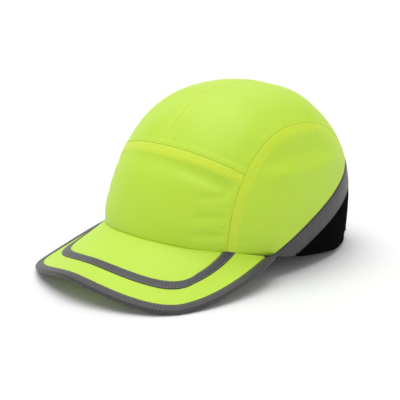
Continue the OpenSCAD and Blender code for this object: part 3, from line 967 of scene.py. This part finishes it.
def opening_binding():
    """Folded tape round the arch, with a rolled edge."""
    half = OPENING_ARC / 2 + 3.7
    azimuths = 180 + half * np.sin(np.linspace(-np.pi / 2, np.pi / 2, 161))
    t = np.array([0, 0.03, 0.08, 0.16, 0.3, 0.5, 0.7, 0.82, 0.9, 0.96, 1.0])[:, None]
    az = 180 + (azimuths - 180) * ((OPENING_ARC / 2) * (1 - t) + half * t) / half
    z = arch(az) * (1 - t) + arch(az, 8.0) * t
    base = at_height(az, z)
    up = normal(base)
    edge = np.minimum(t, 1 - t) * 8
    rise = 0.75 * rounded(edge, 1.1) + 0.08 * waves(arc_lengths(base[5]), (4.1, 6.3, 9.0), 43)
    name = "opening_binding"
    _, outer, inner = layered(name, base, up, rise, -(1.0 + rise), STRAP, "black_webbing")
    return [(outer[6], up[6]), (inner[6], -up[6])]


def rim_hem():
    """Narrow rolled hem along the lower edge of the mesh panel, on each side of the opening."""
    width = 3.0
    az = np.linspace(mesh_start + 0.6, 180 - OPENING_ARC / 2 - 3.6, 130)
    t = np.array([0, 0.06, 0.16, 0.32, 0.5, 0.68, 0.84, 0.94, 1.0])[:, None]
    base = at_height(az, rim(az) + 0.15 + width * t)
    up = normal(base)
    rise = 0.15 + 0.35 * np.sqrt(np.clip(1 - (2 * t - 1) ** 2, 0, 1))
    left = base + up * rise[..., None], base + up * 0.05, base
    for name, grids in (("rear_hem_left", left), ("rear_hem_right", [flipped(g) for g in left])):
        obj = sheet_object(name, *grids[:2], MESH, grid_uv(grids[2]))
        settle(obj, "cap", None, "black_mesh")


crown_rows = front_panel() + top_panels() + side_panels()
sew("crown_topstitching", crown_rows, LIME_THREAD, "lime_cloth")
sew("band_stitching", reflective_band(), DARK_THREAD, "reflective_tape")
rear_mesh()
rim_hem()
sew("rear_stitching", opening_binding(), BLACK_THREAD, "black_webbing")


# ---------- brim ----------

# The brim's edge on the wearer's left, as two cubic curves: across, from the crown's widest line,
# and height. The first runs from the tip to the corner, the second on to the crown
BRIM_CORNER = (81, 40.0 - BRIM_REACH, 2.12)
BRIM_TIP = np.array(
    [(0, -BRIM_REACH, 17.5), (21.5, -BRIM_REACH, 17.5), (69, 11 - BRIM_REACH, 1), BRIM_CORNER]
)
BRIM_SIDE = np.array([BRIM_CORNER, (98, 82 - BRIM_REACH, 3.6), (88, -23.5, 30)])
TUCK = 1.8  # How far the covers and the stripe run on beneath the crown
FOLD_HIGH, FOLD_LOW = 1.95, 2.3  # Half thickness of the folded binding, above and below


def cubic(p, t):
    t = t[..., None]
    return (1 - t) ** 3 * p[0] + 3 * (1 - t) ** 2 * t * p[1] + 3 * (1 - t) * t * t * p[2] + t**3 * p[3]


def brim_edge(s):
    """Edge of the brim: s runs from -1, on the wearer's right, over 0 at the tip, to 1."""
    s = np.asarray(s, float)
    side = np.vstack([BRIM_SIDE, brim_root(1.0) - (0, CROWN_Y, 0)])
    t = np.abs(s) * 2
    p = np.where((t < 1)[..., None], cubic(BRIM_TIP, np.minimum(t, 1)), cubic(side, np.maximum(t - 1, 0)))
    return np.stack([np.sign(s) * p[..., 0], p[..., 1] + CROWN_Y, p[..., 2]], -1)


def brim_root(s):
    az = BRIM_ARC * np.asarray(s, float)
    return at_height(az, rim(az), 0.3) - np.array([0, 0, BRIM_DROP])


def brim_share(s, d):
    """Share of the way from the edge to the root that lies d mm in from the edge."""
    across = brim_root(s) - brim_edge(s)
    ahead = brim_edge(s + 0.01) - brim_edge(s - 0.01)
    width = np.linalg.norm(np.cross(across, ahead), axis=-1) / np.linalg.norm(ahead, axis=-1)
    return d / width


def held(share):
    """Shares over 0.8 are drawn in, so that none passes the root."""
    return np.where(share < 0.8, share, 1 - 0.04 / np.maximum(share - 0.6, 0.2))


def brim_point(s, share):
    """Point of the brim's middle surface, which sags between the edge and the root."""
    edge, root = brim_edge(s), brim_root(s)
    share = share[..., None]
    return edge * (1 - share) + root * share - 4 * BRIM_SAG * share * (1 - share) * np.array([0, 0, 1])


def brim_normal(s, share):
    """Upward unit normal of the brim's middle surface."""
    ahead = brim_point(s + 0.004, share) - brim_point(s - 0.004, share)
    across = brim_point(s, share + 0.01) - brim_point(s, share - 0.01)
    n = np.cross(across, ahead)
    n *= np.sign(n[..., 2:3])
    return n / np.linalg.norm(n, axis=-1, keepdims=True)


def brim_grid(s, start, rows):
    """Grid over the brim from start mm inside the edge to the root."""
    s = np.asarray(s, float)
    first = np.minimum(brim_share(s, start), 0.97)
    last = 1 + np.minimum(brim_share(s, TUCK), 0.3)
    t = rows[:, None]
    share = first * (1 - t) + last * t
    sg = np.broadcast_to(s, share.shape)
    return brim_point(sg, share), brim_normal(sg, np.minimum(share, 0.98))


def brim_cover(name, side):
    s = np.linspace(-0.945, 0.945, 200)
    base, up = brim_grid(s, BINDING_W - 1.2, np.linspace(0, 1, 60))
    soft = 0.10 * waves(base[..., 0] * 0.8 + base[..., 1] * 0.5, (31, 47, 66), 47)
    tint_and_edge_shade = np.zeros(base.shape[:2])
    obj, *_ = layered(
        name, base, up, 1.4 * side + soft, 0.9 * side, LIME, "lime_cloth",
        uv=base[..., :2], tint_and_edge_shade=tint_and_edge_shade, flip=side < 0,
    )
    declare_sheet(obj, base)


def brim_binding():
    """Folded reflective tape over the brim's edge."""
    s = np.linspace(-0.976, 0.976, 420)
    ahead = arc_lengths(brim_edge(s))
    row_at = BINDING_W - 1.8
    flat = [BINDING_W - inset for inset in (0, 0.2, 0.6, 1.3, 1.8, 2.3, 3.2, 4.2, 5.2)]
    nose = np.radians(np.linspace(78, -78, 13))
    outline = [(d, FOLD_HIGH - 0.1 * smooth(abs(d - row_at))) for d in flat]
    outline += [(1.5 - 2.1 * math.cos(a), (FOLD_HIGH if a > 0 else FOLD_LOW) * math.sin(a)) for a in nose]
    outline += [(d, -FOLD_LOW) for d in reversed(flat)]
    d, h = np.array(outline).T[..., None]
    tucked = np.maximum(d - BINDING_W + 0.6, 0) / 0.6
    h = np.sign(h) * (np.abs(h) - 0.4 * tucked**2)
    h = h + 0.05 * np.sign(h) * waves(ahead, (3.9, 5.7, 8.8), 53) * (d > 2)
    h = h - 0.3 * np.sign(h) * bell(d - row_at, 0.45)
    sg = np.broadcast_to(s, h.shape)
    share = held(brim_share(sg, d))
    base = brim_point(sg, share)
    up = brim_normal(sg, np.clip(share, 0.01, 0.99))
    outer = base + up * h[..., None]
    core = base + up * (np.sign(h) * np.maximum(np.abs(h) - 0.7, 0.02))[..., None]
    core = core + (brim_point(sg, np.clip(share + 0.006, 0, 1)) - base)
    uv = spread(ahead, d * np.sign(h))
    # Painted shade along the binding's inner edges, where the covers meet it.
    tint_and_edge_shade = bell(BINDING_W - d - 0.1, 0.5) * 0.9
    obj = sheet_object("brim_binding", outer, core, TAPE, uv=uv, tint_and_edge_shade=tint_and_edge_shade, flip=True)
    settle(obj, "cap", "brim_binding", "reflective_tape")
    row, low_row = 4, len(outline) - 5
    return [(outer[row], up[row]), (outer[low_row], -up[low_row])]


def brim_stripe():
    last = float(bisect(lambda s: brim_share(s, STRIPE_IN - TUCK) < 1, 0.4, 0.9))
    s = np.linspace(-last, last, 340)
    w = np.array([0, 0.15, 0.4, 0.8, 1.1, 1.4, 2.2, 3.2])
    w = np.concatenate([w, [STRIPE_W / 2], STRIPE_W - w[::-1]])
    sg = np.broadcast_to(s, (len(w), len(s)))
    d = STRIPE_IN + w[:, None] + 0 * sg
    share = np.minimum(brim_share(sg, d), 1 + np.minimum(brim_share(sg, TUCK), 0.3))
    base = brim_point(sg, share)
    up = brim_normal(sg, np.minimum(share, 0.98))
    edge = np.minimum(w, STRIPE_W - w)[:, None]
    ahead = arc_lengths(base[8])
    rise = 1.45 + 0.5 * rounded(edge, 0.5) - 0.25 * bell(edge - 1.1, 0.35)
    rise = rise + 0.04 * waves(ahead, (4.3, 6.1, 9.7), 59)
    uv = spread(ahead, w[:, None])
    # Painted shade along both edges of the stripe.
    tint_and_edge_shade = 1 - smooth((edge - 0.2) / 0.6)
    name = "brim_stripe"
    _, outer, _ = layered(name, base, up, rise, 1.3, TAPE, "reflective_tape", uv=uv, tint_and_edge_shade=tint_and_edge_shade)
    under = base - up * 1.42
    return [(outer[4], up[4]), (outer[12], up[12]), (under[4], -up[4]), (under[12], -up[12])]


brim_cover("brim_top_cover", 1)
brim_cover("brim_under_cover", -1)
brim_rows = brim_binding() + brim_stripe()
sew(
    "brim_stitching", brim_rows, GREY_THREAD, "reflective_tape",
    pitch=2.4, length=1.5, radius=0.27, lift=0.25,
)


# ---------- inside ----------


def sweatband():
    reach = 180 - OPENING_ARC / 2 - 4.6
    az = np.linspace(-reach, reach, 330)
    t = np.linspace(0, 1, 25)[:, None]
    base = at_height(az, rim(az) + 0.4 + 29.4 * t, -CLOTH - 0.5)
    up = normal(base)
    ahead = arc_lengths(base[12])
    plump = np.sqrt(np.clip(1 - (2 * t - 1) ** 8, 0, 1))
    seam = bell(ahead % 62.0 - 31.0, 1.6)
    thick = 0.5 + 1.9 * plump - 0.7 * seam * plump + 0.12 * waves(ahead, (7, 11, 19), 61)
    obj, _, inner = layered("sweatband", base, up, 0, -thick, TOWEL, "sweatband_towel")
    return [(inner[2], -up[2]), (inner[22], -up[22])]


def seam_tape(name, x, width, mirrored=False):
    first, last = float(slice_seam(x)) + 1, float(slice_band(x)) - 3
    across = x + np.linspace(-width / 2, width / 2, 11)
    base = at_slice(across, np.linspace(first, last, 150)[:, None], -CLOTH - 0.5)
    up = normal(base)
    domed = 0.35 + 0.35 * np.sqrt(np.clip(1 - np.linspace(-1, 1, 11) ** 4, 0, 1))
    inner = base - up * domed[:, None]
    if mirrored:
        base, inner, up = flipped(base), flipped(inner), flipped(up)
    obj = sheet_object(name, base, inner, SEAM_TAPE, uv=grid_uv(base))
    settle(obj, "cap", name, "seam_tape")
    return [(inner[:, 2], -up[:, 2]), (inner[:, 8], -up[:, 8])]


def front_stiffener():
    """Open net that keeps the front panel upright."""
    xs = np.linspace(-SEAM_X + 12, SEAM_X - 12, 60)
    low = bisect(lambda a: at_slice(xs, a)[..., 2] < rim(rim_at_x(np.abs(xs))) + 31, 0 * xs, 60 + 0 * xs)
    high = slice_seam(xs) - 5
    t = np.linspace(0, 1, 24)[:, None]
    base = at_slice(xs, low * (1 - t) + high * t, -CLOTH - 1.3)
    up = normal(base)
    valley = front_valley(base[..., 0], front_seam.of(base)[0], side_seam.of(base)[0])
    base = base - up * valley[..., None]
    obj, *_ = layered("front_stiffener", base, up, 0, -0.8, NET, "stiff_net")
    declare_sheet(obj, base)


inner_rows = sweatband()
inner_rows += seam_tape("centre_seam_tape", 0.0, 14.0)
inner_rows += seam_tape("seam_tape_left", SEAM_X - 4, 10.0)
inner_rows += seam_tape("seam_tape_right", SEAM_X - 4, 10.0, mirrored=True)
front_stiffener()
sew("inner_stitching", inner_rows, BLACK_THREAD, "sweatband_towel")


# ---------- strap ----------

STRAP_OFF, STRAP_T, PATCH_T, GAP = 1.0, 1.0, 0.5, 0.3
STRAP_START, TAIL_END = 146.0, 166.0
FOLD_IN = BAR_R + GAP
LOOP_OFF = STRAP_OFF + STRAP_T + 0.1
HOOK_OFF = LOOP_OFF + PATCH_T + 0.1
TAIL_OFF = HOOK_OFF + PATCH_T + 0.1
TAIL_LIFT = BAR_OFF + FOLD_IN - TAIL_OFF

ring_z = (STRAP_LOW + STRAP_HIGH) / 2
bar_at = at_height(RING_AZ, ring_z, BAR_OFF)
strap_way = at_height(RING_AZ - 1, ring_z, BAR_OFF) - at_height(RING_AZ + 1, ring_z, BAR_OFF)
strap_way = strap_way[:2] / np.linalg.norm(strap_way[:2])
strap_out = np.array([-strap_way[1], strap_way[0]])
far_bar = bar_at[:2] - RING_PITCH * strap_way


def webbing_profile(width):
    """Heights across a strap and how thick it is there, rounded at both edges."""
    z = np.array([0, 0.12, 0.35, 0.8, 1.6, 3, 5, 7.5])
    z = np.concatenate([z, [width / 2], (width - z)[::-1]])
    return z, rounded(np.minimum(z, width - z), 0.5, 0.12)


def webbing_along(name, path, thick):
    """Upright strap following the middle line of a path in plan, thick mm through.

    Gives the piece, its outer grid and the outward normals along the path.
    """
    path = np.asarray(path, float)
    ahead = np.gradient(path, axis=0)
    ahead /= np.linalg.norm(ahead, axis=1)[:, None]
    side = np.stack([ahead[:, 1], -ahead[:, 0], 0 * ahead[:, 0]], -1)
    heights, shares = webbing_profile(STRAP_HIGH - STRAP_LOW)
    middle = [np.column_stack([path, np.full(len(path), STRAP_LOW + z)]) for z in heights]
    lift = side * (thick / 2 * shares[:, None, None])
    outer, inner = middle + lift, middle - lift
    return sheet_object(name, outer, inner, STRAP, grid_uv(outer), flip=True), outer, side


def crown_path(first, last, off, step=0.5, rise=None):
    """Middle line in plan of a layer off mm outside the crown at the strap's height."""
    az = np.linspace(first, last, max(3, int(abs(last - first) / step)))
    if rise is None:
        return at_height(az, ring_z, off)[:, :2]
    return np.array([at_height(a, ring_z, off + float(rise(a)))[:2] for a in az])


def pressed(az):
    """The sewn end of the strap is pressed into the mesh."""
    return -0.9 * (1 - smooth((az - STRAP_START - 5) / 6))


def tail_rise(az):
    """How far the strap's end stands out as it nears the ring."""
    return TAIL_LIFT * smooth(1 - (RING_AZ - az) / 12)


def row_along(outer, up, c):
    """Row of stitches across a strap at column c of its grid."""
    return outer[3:-3, c], np.repeat(up[c : c + 1], len(outer) - 6, 0)


def box_stitch(outer, up, first, last):
    """Box of stitches with a cross in it, on the outer face of a strap."""
    low, high = 3, len(outer) - 4
    lines = [(outer[r, first : last + 1], up[first : last + 1]) for r in (low, high)]
    lines += [row_along(outer, up, c) for c in (first, last)]
    t = np.linspace(0, 1, 30)
    c = np.round(first + (last - first) * t).astype(int)
    for r0, r1 in ((low, high), (high, low)):
        points = outer[np.round(r0 + (r1 - r0) * t).astype(int), c].copy()
        points[:, 2] = outer[r0, first, 2] + (outer[r1, first, 2] - outer[r0, first, 2]) * t
        lines.append((points, up[c]))
    return lines


def on_strap(outer, column):
    """Place on the middle line of a strap's outer face, in metres."""
    return Vector((*(outer[8, column, :2] * MM), ring_z * MM))


def flat_of(outer):
    return (arc_lengths(outer[8])[-1] * MM, 0.02)


def rear_strap():
    path = crown_path(STRAP_START + 1.5, RING_AZ - 0.3, STRAP_OFF + STRAP_T / 2, rise=pressed)
    strap, outer, up = webbing_along("strap", path, STRAP_T)
    on_strap(outer, -26)
    on_strap(outer, -3)
    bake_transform(strap)
    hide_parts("strap")
    flat_of(outer)
    return box_stitch(outer, up, 5, 21)


def strap_fold():
    angles = np.radians(np.linspace(-101, 101, 41))
    middle = FOLD_IN + STRAP_T / 2
    turn = [bar_at[:2] + middle * (-np.cos(a) * strap_way + np.sin(a) * strap_out) for a in angles]
    fold, *_ = webbing_along("strap_fold", turn, STRAP_T)
    settle(fold, "ring", "strap_fold", "black_webbing")


def strap_tail():
    path = crown_path(TAIL_END, RING_AZ - 0.2, TAIL_OFF + STRAP_T / 2, 0.45, tail_rise)
    tail, outer, up = webbing_along("strap_tail", path, STRAP_T)
    on_strap(outer, -1)
    on_strap(outer, -14)
    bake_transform(tail)
    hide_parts("strap_tail")
    flat_of(outer)
    return [row_along(outer, up, c) for c in (4, 8)]


def patch(name, body, first, last, off, material, bristle, seed):
    """Patch of hook or loop tape with an uneven face, outwards where bristle is true."""
    az = np.linspace(first, last, 90)
    t = np.concatenate([[0, 0.02, 0.05], np.linspace(0.1, 0.9, 21), [0.95, 0.98, 1]])[:, None]
    z = STRAP_LOW + 2 + (STRAP_HIGH - STRAP_LOW - 4) * t
    base = at_height(az, z + 0 * az, off)
    edge = np.sqrt(np.clip(1 - (2 * t - 1) ** 16, 0.05, 1))
    ahead = arc_lengths(base[12])
    pile = 0.06 * waves(z, (1.3, 1.9), seed) * waves(ahead, (1.4, 2.1), seed + 1)
    high = PATCH_T * edge + pile * edge
    layers = (high, 0 * high) if bristle else (PATCH_T + 0 * high, PATCH_T - high)
    layered(name, base, normal(base), *layers, material, "touch_fastener", body)


def ring_tab():
    thick = 0.8
    loop = BAR_R + GAP + thick / 2

    def leg(d, off):
        return at_height(RING_AZ + 5 + d, ring_z, off)[:2]

    angles = np.radians(np.arange(-100, 101, 8))
    turn = [far_bar + loop * (np.cos(a) * strap_way + np.sin(a) * strap_out) for a in angles]
    path = [leg(d, 1.6) for d in np.linspace(14, 5, 16)] + turn
    path += [leg(d, off) for d, off in ((4, 4.6), (5.2, 3.9), (6.5, 3.4), (7.7, 2.95))]
    path += [leg(d, 2.7) for d in np.linspace(9, 12, 7)]
    path = np.array(path)
    fine = along(path, np.linspace(0, arc_lengths(path)[-1], 110))
    obj, outer, up = webbing_along("ring_tab", fine, thick)
    settle(obj, "cap", "ring_tab", "black_webbing")
    flat_of(outer)
    return [row_along(outer, up, c) for c in (96, 104)]


strap_rows = rear_strap()
strap_fold()
tail_rows = strap_tail()
sew("strap_stitching", strap_rows + ring_tab(), BLACK_THREAD, "black_webbing", radius=0.22)
sew("tail_stitching", tail_rows, BLACK_THREAD, "black_webbing", "tail", radius=0.22)
patch("strap_loop_patch", "cap", TAIL_END - 1, RING_AZ - 8, LOOP_OFF, LOOP, True, 67)
patch("strap_hook_patch", "tail", TAIL_END + 1, TAIL_END + 16, HOOK_OFF, HOOK, False, 71)


# ---------- protective insert ----------


PAD_OFF = -SHELL_IN - SHELL_T - 0.5


def insert_rim(az):
    a = np.radians(az)
    return 53.8 + 9 * np.cos(a) + 7 * np.cos(2 * a)


def insert_angle(az):
    az = np.asarray(az, float)
    return bisect(lambda e: at_angle(az, e, -SHELL_IN)[..., 2] < insert_rim(az), -20 + 0 * az, 60 + 0 * az)


def is_vent(i, j):
    return (i == 4 and j % 4 == 1) or (i == 6 and j % 4 == 3) or (i == 8 and j % 8 == 1)


def insert_shell():
    """Hard shell with rounded ventilation windows, smoothed from a coarse cage."""
    cols, rows = 48, 12
    az = 360 * np.arange(cols) / cols
    low = insert_angle(az)
    t = np.concatenate([[0, 0.02], np.arange(1, rows + 1) / rows])[:, None]
    elevation = low * (1 - t) + 84 * t
    rib = 0.5 * bell(t - 0.26, 0.05) + 0 * az
    outer = at_angle(az, elevation, -SHELL_IN)
    inner = at_angle(az, elevation, -SHELL_IN - SHELL_T - rib)
    count = len(t) * cols
    poles = [at_angle(0.0, 90.0, -SHELL_IN), at_angle(0.0, 90.0, -SHELL_IN - SHELL_T)]
    verts = np.concatenate([outer.reshape(-1, 3), inner.reshape(-1, 3), poles])
    faces = dome_faces(len(t), cols, count)
    for i in range(len(t) - 1):
        for j in range(cols):
            a, b = i * cols + j, i * cols + (j + 1) % cols
            loop = (a, b, b + cols, a + cols)
            if i > 1 and is_vent(i - 1, j):
                pairs = zip(loop, loop[1:] + loop[:1])
                faces += [(p, q, q + count, p + count) for p, q in pairs]
            else:
                faces += [loop, tuple(k + count for k in reversed(loop))]
    obj = make_object("insert_shell", verts, faces, SHELL)
    modifier = obj.modifiers.new("round", "SUBSURF")
    modifier.levels = modifier.render_levels = 2
    settle(obj, "insert", "insert_shell", "hard_shell")


def pad_thickness(body, grooves, edge):
    """Thickness of a foam pad: pressed flat round its edge and along its grooves."""
    high = 2.0 + (PAD_T - 2.0) * body
    for groove in grooves:
        high = high - groove * body
    return 0.5 + (high - 0.5) * rounded(edge, 0.9)


def wall_pad(name, middle, high=50.0, channels=(0.33, 0.67)):
    """Pad on the shell's wall, 64 degrees wide, with pressed channels across it."""
    first, last = middle - 32.0, middle + 32.0
    shares = graded(1000.0, 22.0, [0, 4, 10, 18, 28, 40, 55, 72, 92, 115]) / 1000
    azimuths = first + (last - first) * shares
    low = insert_angle(azimuths) + 1
    t = shares[:, None]
    base = at_angle(azimuths, low * (1 - t) + high * t, PAD_OFF)
    width, length = arc_lengths(base[:, len(azimuths) // 2])[-1], arc_lengths(base[len(shares) // 2])[-1]
    corner = np.minimum(t, 1 - t) * width
    side = np.minimum(shares, 1 - shares) * length
    # Rounded corners: rows and columns draw in towards the middle near each corner
    round_in = 9.0
    cx, cy = np.clip(1 - side / round_in, 0, 1), np.clip(1 - corner / round_in, 0, 1)
    square = np.maximum(cx, cy)
    round_r = np.sqrt(cx**2 + cy**2)
    shrink = np.where(round_r > 1e-6, square / np.maximum(round_r, 1e-6), 1.0)
    side_mm = np.where(cx > 0, round_in * (1 - cx * shrink), side)
    corner_mm = np.where(cy > 0, round_in * (1 - cy * shrink), corner)
    share_x = np.where(shares < 0.5, side_mm / length, 1 - side_mm / length)
    share_y = np.where(t < 0.5, corner_mm / width, 1 - corner_mm / width)
    az = first + (last - first) * share_x
    low_here = np.interp(az.ravel(), azimuths, low).reshape(az.shape)
    base = at_angle(az, low_here * (1 - share_y) + high * share_y, PAD_OFF)
    across = np.where(t < 0.5, corner, width - corner)
    ahead = np.where(shares < 0.5, side, length - side)
    edge = np.minimum(np.minimum(across, width - across), np.minimum(ahead, length - ahead))
    grooves = [1.5 * bell(ahead - c * length, 1.5) for c in channels]
    thick = pad_thickness(smooth((edge - 2.2) / 4.5), grooves, edge)
    obj, *_ = layered(name, base, normal(base), 0, -thick, FOAM, "foam", "insert")


def crown_pad():
    """Round pad under the top of the shell, with a pressed ring and spokes."""
    cols = 96
    rings = np.array([0, 0.4, 1.2, 2.4, 4, 5.5, 7, 9, 11.5, 14, 16.5, 19, 21, 23, 25.5, 28, 30.5])
    elevation = (58 + rings)[:, None]
    az = 360 * np.arange(cols) / cols
    base = at_angle(az, elevation, PAD_OFF)
    radius = (90 - elevation) * 1.55
    edge = (elevation - 58) * 1.55
    spoke = np.abs((az + 30) % 60 - 30) * np.pi / 180 * radius
    grooves = [1.4 * bell(radius - 22, 1.7), 1.4 * bell(spoke, 1.7) * smooth((radius - 22) / 3)]
    thick = pad_thickness(smooth((edge - 2) / 5), grooves, edge)
    inner = base - normal(base) * thick[..., None]
    rows = len(rings)
    count = rows * cols
    top = at_angle(0.0, 90.0, PAD_OFF)
    verts = np.concatenate([base.reshape(-1, 3), inner.reshape(-1, 3), [top, top - (0, 0, PAD_T)]])
    faces = grid_faces(rows, cols, True) + grid_faces(rows, cols, True, count, True)
    faces += dome_faces(rows, cols, count)
    obj = make_object("pad_crown", verts, faces, FOAM)
    settle(obj, "insert", "pad_crown", "foam")


insert_shell()
for side, middle in (("front", 0.0), ("rear", 180.0), ("left", 90.0), ("right", -90.0)):
    wall_pad(f"pad_{side}", middle)
crown_pad()

for node, material in (("brim_board", CORE), ("adjuster_ring", RING)):
    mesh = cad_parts[node].data
    mesh.materials.clear()
    mesh.materials.append(material)


# ---------- floor, light and camera ----------


def floor():
    n = Nodes("floor")
    base = n.mix(n.noise(n.place(1), 3.0), (0.81, 0.81, 0.81, 1), (0.83, 0.83, 0.83, 1))
    material = n.finish(base, 0.9, 0.1)
    # Flat under the cap, then rising all round, so that low views see no horizon
    radius = np.array([0, 3000, 4000, 5000, 6000, 7500, 9000, 10500, 12000.0])[:, None]
    turn = np.radians(np.arange(0, 360, 5))[None, :]
    height = 6000 * (np.maximum(radius - 3000, 0) / 9000) ** 2 + 0 * turn
    bowl = np.stack([radius[1:] * np.cos(turn), radius[1:] * np.sin(turn), height[1:]], -1)
    verts = np.concatenate([bowl.reshape(-1, 3), np.zeros((1, 3))])
    cols = turn.shape[1]
    faces = grid_faces(len(radius) - 1, cols, True, flip=True)
    faces += [(len(verts) - 1, j, (j + 1) % cols) for j in range(cols)]
    make_object("floor", verts, faces, material)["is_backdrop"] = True


def lamp(name, towards, strength, angle):
    """Broad lamp that shines from a direction, softened like a large studio light."""
    data = bpy.data.lights.new(name, "SUN")
    data.energy = strength
    data.angle = math.radians(angle)
    obj = bpy.data.objects.new(name, data)
    obj.rotation_euler = Vector(towards).to_track_quat("Z", "Y").to_euler()
    bpy.context.scene.collection.objects.link(obj)


def studio():
    scene = bpy.context.scene
    world = bpy.data.worlds.new("studio")
    world.use_nodes = True
    background = world.node_tree.nodes["Background"]
    background.inputs["Color"].default_value = (1.0, 1.0, 1.0, 1.0)
    background.inputs["Strength"].default_value = 0.39
    scene.world = world
    scene.view_settings.view_transform = "Standard"
    lamp("overhead", (-0.06, -0.07, 0.99), 2.12, 55)
    lamp("behind", (-0.65, 0.35, 0.65), 0.85, 70)


CAMERA_AZ, CAMERA_EL = math.radians(44.165), math.radians(15.666)
CAMERA_DISTANCE = 0.8417
CAMERA_LENS = 90.28
CAMERA_ASIDE = -0.0214  # The view's centre is this far to the side of the cap's middle
CAMERA_TARGET = (0.0, 0.0277, 0.0421)


def camera():
    data = bpy.data.cameras.new("camera")
    data.lens = CAMERA_LENS
    data.sensor_width = 36.0
    obj = bpy.data.objects.new("camera", data)
    back = Vector((
        math.sin(CAMERA_AZ) * math.cos(CAMERA_EL),
        -math.cos(CAMERA_AZ) * math.cos(CAMERA_EL),
        math.sin(CAMERA_EL),
    ))
    right = Vector((math.cos(CAMERA_AZ), math.sin(CAMERA_AZ), 0))
    target = Vector(CAMERA_TARGET) + right * CAMERA_ASIDE
    obj.location = target + back * CAMERA_DISTANCE
    obj.rotation_euler = (-back).to_track_quat("-Z", "Y").to_euler()
    bpy.context.scene.collection.objects.link(obj)
    bpy.context.scene.camera = obj


floor()
studio()
camera()

bpy.context.view_layer.update()
boxes = {"cad": cad_box, "visual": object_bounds()}
{k: [list(v[0]), list(v[1])] for k, v in boxes.items()}
